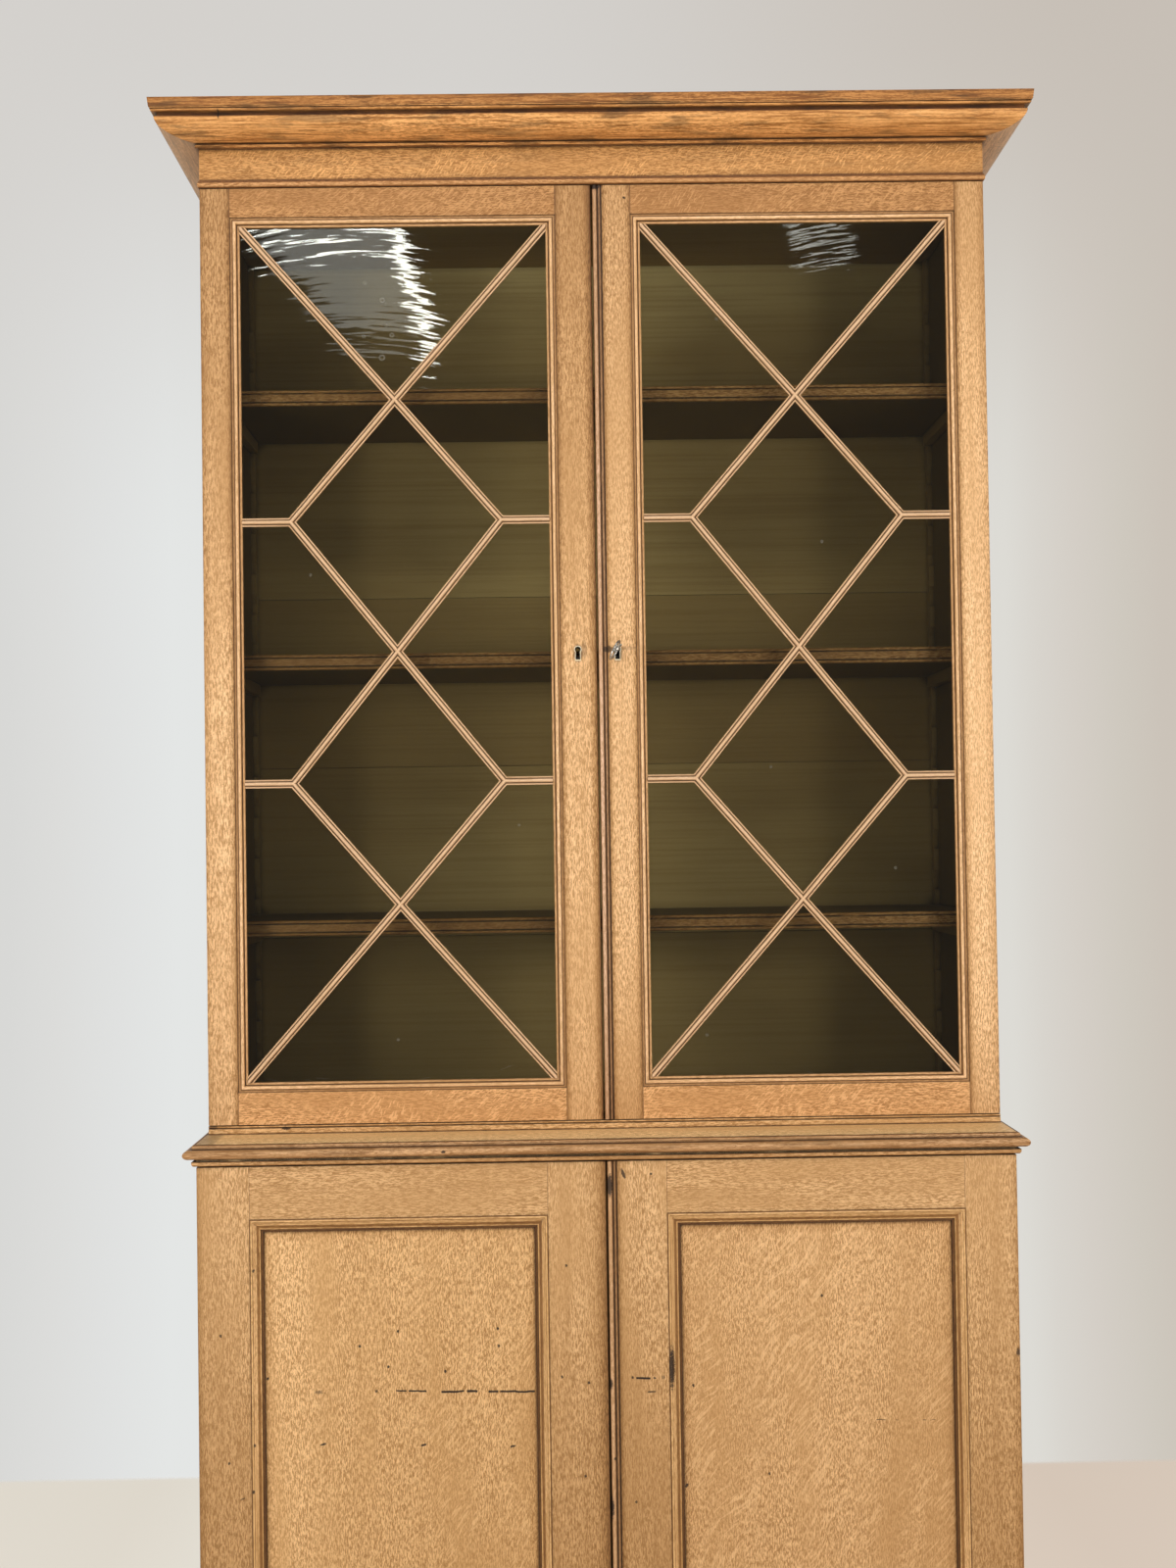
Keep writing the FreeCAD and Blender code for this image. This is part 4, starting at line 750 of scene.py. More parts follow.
# At the key's height, the dark spot on the closing bead is a painted shadow of the key. The one near the top
# is a mark.
bead_marks_and_key_shadow = [(spot(3.5, 2255, 7, 4), 0.95), (spot(10, lock_height, 4, 4, ragged=0.3), 0.7)]
upper_bead_light_and_shade = [(height, upper_light_fall["right"]), (right_of(bead_left), bead_light_and_shade)]
dress(oak("upper_bead_oak", bead_oak, upright, 9, fibre=0.6, reach=0.003, marks=bead_marks_and_key_shadow,
          lines=upper_bead_light_and_shade), "right_upper_closing_bead")

# %% Tones and lines of the lower doors
lower_oak = paint(202, 158, 106)
panel_oak = {"left": paint(205, 160, 105), "right": paint(204, 159, 106)}
panel_light = {"left": [(0, 1.16), (60, 1.14), (150, 1.02), (420, 0.98)],
               "right": [(0, 0.98), (200, 1.03), (420, 0.97)]}
fleck_area = {"left": (-0.42, -0.2), "right": None}
# Painted shade and highlights: shade by the meeting edge, light and shade lines on the panel moulding, shade
# on the panel inside the moulding, and light that falls off towards the floor.
shade_by_the_lower_lock = [(0, 0.36), (3, 0.46), (8, 0.66), (16, 0.86), (26, 1)]
panel_moulding_light_and_shade = [(0, 0.2), (1.2, 0.28), (1.7, 1), (3.6, 1.08), (4, 0.42), (4.5, 0.42), (5, 1.15),
                        (7, 1.28), (8.8, 1.12), (9.8, 0.45), (12.8, 0.38), (13.4, 0.85), (14.6, 0.85),
                        (15.1, 0.36), (17, 0.24), (18.5, 0.14)]
panel_rim_shade = [(18.5, 0.3), (19.6, 0.6), (24, 0.86), (34, 1)]
lower_light_fall = [(88, 0.76), (300, 0.8), (450, 0.86), (560, 0.93), (700, 1.03), (845, 1.08)]
panel_light_fall = [(88, 0.93), (300, 0.95), (500, 0.98), (700, 1.02)]

# %% Marks on the lower doors
dashes = [(-301.5, -287, 0.9), (-284, -258.6, 1.1), (-238, -206, 1.5), (-202, -187, 1.8), (-171.6, -158, 1.6),
          (-155.5, -106.6, 1.4)]
split_level, split_fall = 520.2, 0.0208


def part_of_split(start, end, wide):
    """One length of the long level crack in the left panel, which falls a little to the right."""
    levels = [split_level - x * split_fall for x in (start, end)]
    return crack(start, levels[0], end, levels[1], wide + 0.7, 1.8, 1.2)


left_panel_marks = [(part_of_split(*dash), 1) for dash in dashes]
left_panel_marks += [(spot(-410, 527, 5, 2.4, 0, 2), 0.6), (spot(-329, 527, 2, 2), 0.8)]
left_panel_marks += [(spot(x, z, 1.7, 2.2), 0.95) for x, z in
                     ((-157.6, 611.5), (-156.5, 587), (-298, 610), (-312, 561), (-232, 553), (-352, 590),
                      (-481.4, 547))]
left_panel_marks += [(spot(x, z, 4.2, 1.5, 12), 0.95) for x, z in
                     ((-404.5, 454), (-263.6, 450.6), (-138.7, 446.6))]
right_panel_marks = [(crack(374, 474, 460, 473.3, 0.9, whole=0.5), 0.8), (spot(300, 650, 1.8, 2.2), 0.9),
                     (spot(222, 402, 1.6, 2), 0.9), (spot(116.6, 527.1, 1.8, 2.2), 0.9),
                     (spot(105.2, 387.5, 2, 3.4, -30), 0.9)]
right_stile_marks = [(crack(36, 541.7, 56, 540.7, 2.2, 1, 1.2), 1.0), (spot(31, 542.4, 1.8, 1.8), 0.9),
                     (spot(62, 541.2, 1.8, 1.8), 0.9), (spot(74.2, 541.8, 2.6, 2.6), 0.5),
                     (crack(51.9, 521.9, 63, 521.8, 1.6, 1, 1.2), 0.85),
                     (spot(22, 827, 2.2, 7.5, 20, 0.6), 0.85), (spot(33.7, 369.1, 1.8, 1.8), 0.8),
                     (spot(60.8, 826.6, 1.8, 1.8), 0.9), (spot(574, 568, 2.5, 6), 0.8)]
left_stile_marks = [(spot(x, z, 1.7, 2), 0.85) for x, z in
                    ((-60, 700), (-545, 610), (-535, 432.2), (-68.1, 544.8), (-37, 406.3), (-30.4, 536))]
left_stile_marks += [(crack(-521, 381, -505, 387.6, 1.2, 2), 0.8)]
right_moulding_marks = [(spot(86.5, 556, 4, 27, 0, 1.2), 0.95)]
left_moulding_marks = [(spot(x, z, 1.6, 2.4), 0.9)
                       for x, z in ((-499.1, 457.1), (-501.2, 392.8), (-498.5, 700))]
lower_bead_marks = [(spot(-1.5, 362, 4, 17, 0, 1.2), 0.95), (spot(2.5, 812, 4, 15, 0, 0.8), 0.9),
                    (spot(0, 534, 3, 7, 0, 0.8), 0.9), (spot(4.8, 429.6, 1.8, 2), 0.8)]
lower_marks = {
    "left": {"panel": left_panel_marks, "stiles": left_stile_marks, "moulding": left_moulding_marks},
    "right": {"panel": right_panel_marks, "stiles": right_stile_marks, "moulding": right_moulding_marks}}

# %% Oak on the lower doors
for number, side in enumerate(("left", "right")):
    door = side + "_lower_"
    low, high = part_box(door + "panel_moulding")
    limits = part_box(door + "stiles")
    stile_light_and_shade = [(height, lower_light_fall), *edge_shade(side, limits, shade_by_the_lower_lock)]
    dress(oak(door + "stile_oak", lower_oak, upright, number + 11, lines=stile_light_and_shade,
              marks=lower_marks[side]["stiles"]), door + "stiles")
    dress(oak(door + "rail_oak", lower_oak, level, number + 13, cells=(140, 680), joints=(low.x, high.x)),
          door + "rails")
    panel_shading = [(height, panel_light_fall), (right_of(low.x), panel_light[side]),
                   (front_of(door + "panel", inside_of(door + "panel_moulding")), panel_rim_shade)]
    dress(oak(door + "panel_oak", panel_oak[side], upright, number + 15, cells=(150, 720), fibre=1.3,
              flecks=0.38, slant=40, rays=(45, 330), ray_share=0.55, area=fleck_area[side], rings=0.12,
              lines=panel_shading, marks=lower_marks[side]["panel"]), door + "panel")
    dress_opening(door + "panel_moulding", door + "moulding_oak", paint(212, 166, 108), number + 17,
                  panel_moulding_light_and_shade, fibre=0.7, streaks=0.4, reach=0.004, dirt=0.7,
                  marks=lower_marks[side]["moulding"])
dress(oak("lower_bead_oak", paint(200, 156, 112), upright, 19, fibre=0.7, reach=0.003,
          lines=[(right_of(bead_left), bead_light_and_shade)], marks=lower_bead_marks), "right_lower_closing_bead")


# %% Masks for the case
def inner_faces(half_width):
    """1 on the inner faces of the sides, which nobody waxed."""
    return lambda recipe: recipe.rise(recipe.size_of(recipe.xyz()[0]), half_width + 0.001, half_width)


def behind(front_y):
    """1 on everything behind a distance from the front."""
    return lambda recipe: recipe.rise(recipe.xyz()[1], front_y, front_y + 0.001)


upper_half, lower_half = 0.575, 0.577
upper_face_y, lower_face_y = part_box("cornice_frieze")[0].y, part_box("waist_board")[0].y
round_upper = round_the_front(upper_half, upper_face_y)
round_lower = round_the_front(lower_half, lower_face_y)


def on_returns(recipe):
    """Partly 1 on the ends of the cornice, which dust has turned grey."""
    x, y, z = recipe.xyz()
    return recipe.above((recipe.size_of(x) - upper_half) + y, upper_face_y) * 0.5


# %% Lines of the case
# Painted highlights and shade along the height: pale lines on the rounds, dark lines in the quirks and under
# the overhangs, where dirt also lies.
cornice_light_and_shade = [(2315.2, 0.45), (2316.4, 0.55), (2316.9, 1.05), (2320.4, 1.05), (2320.9, 0.3), (2322.4, 0.3),
                 (2323, 1.15), (2332, 1.25), (2344, 1.2), (2346.3, 0.8), (2346.9, 0.32), (2352.7, 0.32),
                 (2353.6, 0.95), (2356.8, 0.95), (2357.5, 0.5), (2357.9, 1.15), (2359.1, 1.1), (2359.6, 0.76),
                 (2368, 0.7), (2372.1, 0.52)]
frieze_shade = [(2268.2, 0.35), (2270.2, 0.42), (2271.2, 0.85), (2275, 1), (2311, 1), (2315.2, 0.6)]
frieze_bead_light_and_shade = [(2258.2, 0.3), (2259.4, 0.45), (2260.6, 1), (2264.5, 1.08), (2266, 0.7), (2266.5, 0.32),
                     (2268.2, 0.4)]
nosing_light_and_shade = [(857.5, 0.45), (859, 0.8), (862, 1), (868, 1.05), (870.2, 0.8), (870.6, 0.3), (871.6, 0.35),
                (872.4, 1), (875.6, 1), (876.4, 0.4), (876.9, 0.35)]
bed_light_and_shade = [(847, 0.3), (848, 0.45), (849.2, 1), (852, 1.05), (853, 0.7), (853.5, 0.4)]
foot_light_and_shade = [(877.5, 0.35), (878.8, 0.5), (879.4, 1.05), (885.5, 1.08), (886.6, 0.6), (887.3, 0.35),
              (887.8, 0.95), (889, 1), (889.8, 0.5)]

# %% Mouldings and boards of the case
dress(oak("cornice_oak", paint(205, 144, 79), round_upper, 21, unwaxed=on_returns, dusty=paint(176, 152, 124),
          streaks=0.9, weather=0.5, reach=0.006, dirt=0.7, lines=[(height, cornice_light_and_shade)],
          marks=[(spot(-538, 2349, 1.6, 6), 0.9)]), "cornice_moulding")
dress(oak("frieze_oak", paint(195, 141, 79), level, 22, rays=(95, 420), flecks=0.8, slant=50, weather=0.15,
          reach=0.007, lines=[(height, frieze_shade)]), "cornice_frieze")
dress(oak("frieze_bead_oak", paint(194, 141, 86), round_upper, 23, streaks=0.3, dirt=0.7,
          lines=[(height, frieze_bead_light_and_shade)]), "frieze_bead")
foot_marks = [(spot(-463, 885.6, 6, 2.5), 0.9), (spot(-568, 888, 6, 3, 0, 0.6), 0.6)]
dress(oak("foot_oak", paint(204, 158, 102), level, 24, streaks=0.3, marks=foot_marks, reach=0.004, dirt=0.7,
          lines=[(height, foot_light_and_shade)]), "upper_base_moulding")
waist_marks = [(crack(-415, 886, -396, 880, 1.2, 3), 0.6), (spot(-566, 879, 14, 4, 0, 0.6), 0.4)]
# Painted light: the waist board's oak is made paler for the light that falls on its top face.
dress(oak("waist_oak_and_top_light", paint(241, 199, 139), flat_board, 25, marks=waist_marks), "waist_board")
dress(oak("nosing_oak", paint(190, 144, 96), round_lower, 26, streaks=0.6, weather=0.25, reach=0.006,
          dirt=0.7, lines=[(height, nosing_light_and_shade)], marks=[(spot(-229.7, 864, 3, 2), 0.95)]), "waist_nosing")
dress(oak("bed_oak", paint(200, 152, 98), round_lower, 27, streaks=0.4, reach=0.006, dirt=0.8,
          lines=[(height, bed_light_and_shade)]), "waist_bed_moulding")
for half, seed in (("upper", 28), ("lower", 32)):
    unwaxed_faces = inner_faces(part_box(half + "_bottom_board")[1].x)
    dress(oak(half + "_side_oak", paint(186, 142, 96), upright, seed, unwaxed=unwaxed_faces), half + "_sides")
dress(oak("plinth_oak", lower_oak, level, 29), "plinth_board", "lower_front_rail")
dress(oak("base_oak", moulding_oak, round_lower, 30, streaks=0.4), "base_moulding")
shelf_edge_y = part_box("top_shelf")[0].y
dress(oak("shelf_oak", paint(180, 130, 72), level, 31, flecks=0.3, unwaxed=behind(shelf_edge_y + 0.004)),
      "bottom_shelf", "middle_shelf", "top_shelf")


# %% [markdown]
# ## The wood inside
# The boards behind the glass were never waxed. They have turned a dull olive brown, and each board a little
# differently, with a dark open joint between one and the next. The joints are real gaps in the solids, so the
# material only has to change from board to board: rounding the height down to whole boards gives each a
# number, and the White Noise node turns that number into its own tone.


# %% Inside wood
board_height, first_joint = 0.275, 1.1435


def inside_wood(name, colour, direction, seed, boards=False, lines=()):
    """Dull unfinished wood, in which each of several boards may have its own tone. Shade is painted in
    towards the sides and in the corners.
    """
    recipe = new_recipe(name)
    lie = direction(recipe) + own_shift(seed)
    tone = seasoned(colour, 1)
    x, y, z = recipe.xyz()
    if boards:
        number = recipe.add("ShaderNodeMath", {"operation": "FLOOR"}, {0: (z - first_joint) / board_height})
        own = recipe.add("ShaderNodeTexWhiteNoise", {"noise_dimensions": "1D"}, {"W": number}, "Value")
        lie = lie + recipe.gather(own * 5, own * 3, own)
        tone = recipe.blend(own, seasoned(colour, 0.82), seasoned(colour, 1.15))
    cloud = recipe.noise(lie * (3, 12, 12), 3)
    line = recipe.noise(lie * (2, 180, 180), 3, 0.6)
    tone = recipe.blend(recipe.rise(cloud, 0.35, 0.7) * 0.5, tone, seasoned(colour, 0.7))
    tone = recipe.blend(recipe.rise(line, 0.4, 0.7) * 0.35, tone, seasoned(colour, 0.55))
    # Painted shade: the wood darkens towards the sides of the case.
    tone = recipe.blend(recipe.rise(recipe.size_of(x), 0.1, 0.5) * 0.45, tone, seasoned(colour, 0.6))
    for distance, stops in lines:
        tone = recipe.by_stops(tone, distance(recipe), stops)
    # Painted shade and dirt: the corners inside are darkened over a wide reach.
    tone = recipe.blend(corner_dirt(recipe, 0.02, 0.15, 0.7) * 0.8, tone, paint(30, 22, 11))
    bump = recipe.bump(0.3, 0.0004, line)
    recipe.shader(Base_Color=tone, Roughness=0.75, Normal=bump)
    return recipe.owner


dull = paint(178, 148, 90)
# Painted light: the back boards are lighter at the bottom and much lighter near the top.
back_light_fall = [(880, 1.28), (1180, 1.2), (1400, 1.08), (2090, 1.05), (2150, 1.38), (2235, 1.62)]
dress(inside_wood("back_wood", dull, level, 41, True, [(height, back_light_fall)]),
      "upper_back_boards", "lower_back_boards")
dress(inside_wood("board_wood", dull, flat_board, 42),
      "upper_top_board", "upper_bottom_board", "cornice_top_board", "lower_bottom_board", "lower_shelf")
dress(inside_wood("strip_wood", dull, upright, 43), "sawtooth_strips")
dress(inside_wood("bearer_wood", dull, front_to_back, 44), "shelf_bearers")


# %% [markdown]
# ## Old glass
# Hand-made sheet glass is never quite flat, so what it reflects wobbles while what lies behind it hardly
# moves. A solid refracting pane would keep the lamps from reaching the shelves. So the pane is a clear
# Transparent shader, mixed with a mirror where the Fresnel node says that glass reflects, and only the mirror
# gets the waves. The waves of a blown sheet run in wide arcs, so their height depends on the distance from a
# far point. Bubbles and putty smears are a thin pale film, mixed in where a mask says so.


# %% Glass
def bubble(recipe, x, z, radius):
    """A thin ring, in millimetres."""
    px, py, pz = recipe.xyz()
    off = recipe.gather(px - x / 1000, 0, pz - z / 1000)
    return near(recipe, recipe.length_of(off), radius / 1000, radius / 1600)


wave_height = 0.00026


def old_glass(name, seed, middle, bubbles):
    """A clear pane whose reflection is bent by waves that run round a far point."""
    recipe = new_recipe(name)
    shift = random.Random(seed)
    place = recipe.object_place()
    x, y, z = recipe.split(place)
    distance = recipe.length_of(recipe.gather(x - middle[0], 0, z - middle[1]))
    swirl = recipe.noise(recipe.gather(distance * 34 + shift.uniform(0, 9), x * 4, 0), 3, 0.55)
    ripple = recipe.noise(recipe.gather(x * 60, z * 120, shift.uniform(0, 9)), 2)
    bump = recipe.bump(1, wave_height, swirl + ripple * 0.035)
    clear = recipe.add("ShaderNodeBsdfTransparent", {}, {"Color": (0.93, 0.94, 0.9)})
    mirror = recipe.shader(Base_Color=(0.92, 0.93, 0.9), Metallic=1.0, Roughness=0.015, Normal=bump)
    gloss = recipe.add("ShaderNodeFresnel", {}, {"IOR": 1.6, "Normal": bump})
    pane = recipe.add("ShaderNodeMixShader", {}, {0: gloss, 1: clear, 2: mirror})
    film = recipe.add("ShaderNodeBsdfDiffuse", {}, {"Color": (0.5, 0.48, 0.42), "Roughness": 1})
    film_amount = recipe.rise(recipe.noise(place * 420, 2), 0.68, 0.76) * 0.08 + 0.004
    for spot_x, spot_z, radius in bubbles:
        film_amount = film_amount + bubble(recipe, spot_x, spot_z, radius) * 0.2
    recipe.surface(recipe.add("ShaderNodeMixShader", {}, {0: film_amount, 1: pane, 2: film}))
    return recipe.owner


left_bubbles = [(-311.5, 2008.5, 3.4), (-310.2, 2093.3, 3), (-335.6, 2119, 2), (-296.6, 2041.5, 2.6),
                (-338, 2040, 2), (-305, 2056, 2.2), (-250, 1900, 1.4), (-420, 1690, 1.6), (-120, 1320, 1.4),
                (-300, 1010, 1.6)]
right_bubbles = [(180, 2060, 1.6), (330, 1730, 1.7), (250, 1400, 1.4), (430, 1250, 1.6), (150, 1010, 1.5)]
dress(old_glass("left_glass", 51, (-0.35, 1.51), left_bubbles), "left_upper_panes")
dress(old_glass("right_glass", 52, (0.45, 1.4), right_bubbles), "right_upper_panes")


# %% [markdown]
# ## Brass and steel
# The keyhole linings and hinges are brass that has gone dull in the hollows, the key is worn steel, and the
# lock and the bolts are dark iron. Metal has no colour of its own under the shine: Metallic is 1, and the
# base colour tints what it reflects.


# %% Metals
def aged_metal(name, bright, dull_tone, roughness, seed, shine=1.0, marks=()):
    """Metal with duller patches and grime in its corners. Shine is lower where lacquer or wax covers it."""
    recipe = new_recipe(name)
    place = recipe.object_place() + (seed, seed, 0)
    patch = recipe.rise(recipe.noise(place * 180, 3), 0.35, 0.65)
    scratch = recipe.noise(place * (900, 900, 200), 2)
    tone = recipe.blend(patch * 0.7, bright, dull_tone)
    tone = recipe.blend(corner_dirt(recipe, 0.003, 0.2, 0.8) * 0.8, tone, paint(30, 22, 14))
    # Painted shade: a mark, such as a keyhole, is painted nearly black.
    for mask in marks:
        tone = recipe.blend(mask(recipe), tone, paint(16, 12, 9))
    bump = recipe.bump(0.15, 0.0002, scratch)
    recipe.shader(Base_Color=tone, Metallic=shine, Roughness=roughness + patch * 0.2, Normal=bump)
    return recipe.owner


brass = aged_metal("aged_brass", paint(214, 178, 110), paint(150, 118, 66), 0.28, 3)
iron = aged_metal("dark_iron", paint(110, 106, 100), paint(62, 58, 54), 0.38, 5)
steel = aged_metal("worn_steel", paint(206, 200, 190), paint(96, 91, 86), 0.24, 9)
rubbed, worn = paint(246, 234, 206), paint(228, 208, 166)
for side in ("left", "right"):
    # Painted shade: inside the keyhole, the lining is painted nearly black.
    dress(aged_metal(side + "_keyhole_brass", rubbed, worn, 0.35, 7, 0.4, [keyhole_shade(side)]),
          side + "_upper_escutcheon")
    dress(brass, side + "_upper_hinge_leaves", side + "_lower_hinge_leaves")
dress(steel, "key")
dress(brass, "case_hinge_leaves", "hinge_pins", "bolt_plates_and_catches", "bolt_guides")
dress(iron, "lock_bolt", "lock_case", "lock_keeper", "top_bolt", "bottom_bolt")

# %% [markdown]
# ## Picking faces in code
# By hand, faces are picked with the mouse. In code they are picked by a test, such as "looks up" or "lies
# near the rim". The flags can only be set in Object Mode, so the helper steps out of Edit Mode, sets them and
# steps back.


# %% Picking
def start_on(piece):
    """Makes one piece the only selected one, in Edit Mode."""
    deselect_all()
    piece.select_set(True)
    bpy.context.view_layer.objects.active = piece
    bpy.ops.object.mode_set(mode="EDIT")


def pick_all():
    bpy.ops.mesh.select_all(action="SELECT")


def leave_edit():
    bpy.ops.object.mode_set(mode="OBJECT")


def new_piece(name, mesh):
    """An object in the scene that shows a mesh."""
    piece = bpy.data.objects.new(name, mesh)
    bpy.context.scene.collection.objects.link(piece)
    return piece


def pick(kind, test):
    """Selects the faces (FACE) or the corners (VERT) of the piece in Edit Mode that pass a test."""
    bpy.ops.mesh.select_mode(type=kind)
    bpy.ops.mesh.select_all(action="DESELECT")
    leave_edit()
    mesh = bpy.context.object.data
    for item in mesh.polygons if kind == "FACE" else mesh.vertices:
        item.select = test(item)
    bpy.ops.object.mode_set(mode="EDIT")


def copies(model, places, name, body, material):
    """One piece from a copy of the model at each place, riding on a body. A place is a matrix."""
    made = []
    for place in places:
        copy = new_piece(name, model.data.copy())
        copy.data.transform(place)
        made.append(copy)
    deselect_all()
    for copy in made:
        copy.select_set(True)
    bpy.context.view_layer.objects.active = made[0]
    if len(made) > 1:
        bpy.ops.object.join()
    piece = bpy.context.object
    piece.name = name
    piece.data.materials.clear()
    piece.data.materials.append(material)
    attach(piece, body)


# %% [markdown]
# ## Screws
# Every hinge leaf is held by three brass screws whose heads are sunk flush and have one straight slot.
# The head is a short cylinder. Its top face is inset, cut by two parallel planes, and the strip between them
# is pushed down, which gives the slot. One head is made, looking up, and copies are turned to face their
# plate.

# %% One screw head
head_radius = 0.0027
head_depth = 0.0012
head_stand = 0.00008
slot_width = 0.0007
slot_depth = 0.0005
rim = 0.0003


def slotted_head():
    deselect_all()
    bpy.ops.mesh.primitive_cylinder_add(vertices=16, radius=head_radius, depth=head_depth,
                                        location=(0, 0, head_stand - head_depth / 2))
    head = bpy.context.object
    head.name = "screw_model"
    bpy.ops.object.transform_apply(location=True)
    start_on(head)
    pick("FACE", lambda face: face.normal.z > 0.9)
    bpy.ops.mesh.inset(thickness=rim)
    for side in (-1, 1):
        pick("FACE", lambda face: face.normal.z > 0.9 and face.center.xy.length < head_radius - 1.5 * rim)
        bpy.ops.mesh.bisect(plane_co=(0, side * slot_width / 2, 0), plane_no=(0, 1, 0))
    pick("FACE", lambda face: face.normal.z > 0.9 and abs(face.center.y) < slot_width / 2
         and abs(face.center.x) < rim)
    bpy.ops.mesh.extrude_region_move(TRANSFORM_OT_translate={"value": (0, 0, -slot_depth)})
    leave_edit()
    return head


def facing(place, way, turn, size=1.0):
    """Where a head goes: its place, which way along Y it looks, and how far its slot is turned."""
    tilt = Matrix.Rotation(-way * math.pi / 2, 4, "X")
    return Matrix.Translation(place) @ tilt @ Matrix.Rotation(turn, 4, "Z") @ Matrix.Scale(size, 4)


screw_model = slotted_head()
print("one screw head has", len(screw_model.data.polygons), "faces")

# %% Screws in the hinges
leaf_middle = 0.0102
screw_pitch = 0.021
stagger = 0.0018
leaf_half_length = 0.032
screw_turns = random.Random(61)
hinge_axis = {"upper": 0.5755, "lower": 0.5775}


def hinge_screws(side, axis_x, face_y, way, levels):
    """Three places on each leaf: its middle is set in from the hinge's axis, and they stagger a little."""
    places = []
    for level_z in levels:
        for number in (-1, 0, 1):
            x = side * (axis_x - leaf_middle + (stagger if number == 0 else -stagger))
            spot = (x, face_y, level_z + number * screw_pitch)
            places.append(facing(spot, way, screw_turns.uniform(0, math.pi)))
    return places


case_places = []
for half in ("upper", "lower"):
    for side, side_name in ((-1, "left"), (1, "right")):
        door = side_name + "_" + half + "_"
        low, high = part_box(door + "hinge_leaves")
        first, last = low.z + leaf_half_length, high.z - leaf_half_length
        levels = [first, (first + last) / 2, last] if half == "upper" else [first, last]
        door_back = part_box(door + "stiles")[1].y
        case_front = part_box(half + "_sides")[0].y
        axis_x = hinge_axis[half]
        copies(screw_model, hinge_screws(side, axis_x, door_back, 1, levels), door + "hinge_screws",
               door + "door", brass)
        case_places += hinge_screws(side, axis_x, case_front, -1, levels)
copies(screw_model, case_places, "case_hinge_screws", "case", brass)
print("screws in the case:", len(case_places))

# %% Screws in the lock and the bolts
small = 0.62
margin = 0.0045
guide_margin, guide_plate, plate_end = 0.002, 0.002, 0.012
bottom_plate, top_plate = 0.081, 0.080
low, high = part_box("lock_case")
lock_places = [facing((x, high.y, z), 1, screw_turns.uniform(0, math.pi), small)
               for x in (low.x + margin, high.x - margin) for z in (low.z + margin, high.z - margin)]
copies(screw_model, lock_places, "lock_screws", "right_upper_door", iron)
low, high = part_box("bolt_guides")
plate_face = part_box("left_upper_stiles")[1].y + guide_plate
plate_ends = ((low.z, low.z + bottom_plate), (high.z - top_plate, high.z))
guide_places = [facing((x, plate_face, z), 1, screw_turns.uniform(0, math.pi), small)
                for x in (low.x + guide_margin, high.x - guide_margin) for bottom, top in plate_ends
                for z in (bottom + plate_end, top - plate_end)]
copies(screw_model, guide_places, "bolt_guide_screws", "left_upper_door", brass)
bpy.data.objects.remove(screw_model)
print("small screws:", len(lock_places) + len(guide_places))

# %% [markdown]
# ## Key
# The bow of the key is an oval ring that hangs at a slant in the worn lock. It starts as a torus, which is
# squeezed in Edit Mode, leant over and moved to the end of the shank. The shank and the bit are copied from
# the solid key and cut off just behind its flat bow, and joining the two gives one piece that stands for the
# key.

# %% Key
weld = 0.00001
bow_half_length, bow_half_depth, bow_wire = 0.0148, 0.0092, 0.0016
bow_lean = (math.radians(-15), math.radians(-63), 0)
bow_slide = -0.0052
shank_end = -0.1522
low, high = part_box("key")
key_axis = Vector(((low.x + high.x) / 2, shank_end, (low.z + high.z) / 2))
deselect_all()
bpy.ops.mesh.primitive_torus_add(major_radius=bow_half_length, minor_radius=bow_wire, major_segments=48,
                                 minor_segments=14)
bow = bpy.context.object
start_on(bow)
pick_all()
bpy.ops.transform.resize(value=(1, bow_half_depth / bow_half_length, 1))
leave_edit()
turn = Euler(bow_lean).to_matrix()
bow.rotation_euler = bow_lean
bow.location = key_axis + turn @ Vector((bow_slide, -bow_half_depth + bow_wire / 3, 0))
bpy.ops.object.transform_apply()
bow.data.shade_smooth()
key_piece = new_piece("key_with_bow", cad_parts["key"].data.copy())
start_on(key_piece)
pick_all()
bpy.ops.mesh.remove_doubles(threshold=weld)
pick_all()
bpy.ops.mesh.bisect(plane_co=(0, shank_end, 0), plane_no=(0, 1, 0), use_fill=True, clear_inner=True)
leave_edit()
bow.select_set(True)
bpy.ops.object.join()
key_piece.data.materials.clear()
key_piece.data.materials.append(steel)
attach(key_piece, "key")
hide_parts("key")
print("the key has", len(key_piece.data.polygons), "faces and reaches to y",
      round(key_piece.bound_box[0][1], 4))

# %% [markdown]
# ## Putty
# Each pane is held from behind by a sloping band of putty between the glass and the wood. The panes are
# already there, so their back faces are the pattern: they are copied, the middle of each is cut out by an
# inset, the ring that is left is raised, and its inner edge is pressed down to the glass, which leaves the
# slope.

# %% Putty behind the panes
putty_width = 0.0034
putty_height = 0.0062
putty_lip = 0.0005


def as_key(corner):
    return round(corner.co.x, 5), round(corner.co.z, 5)


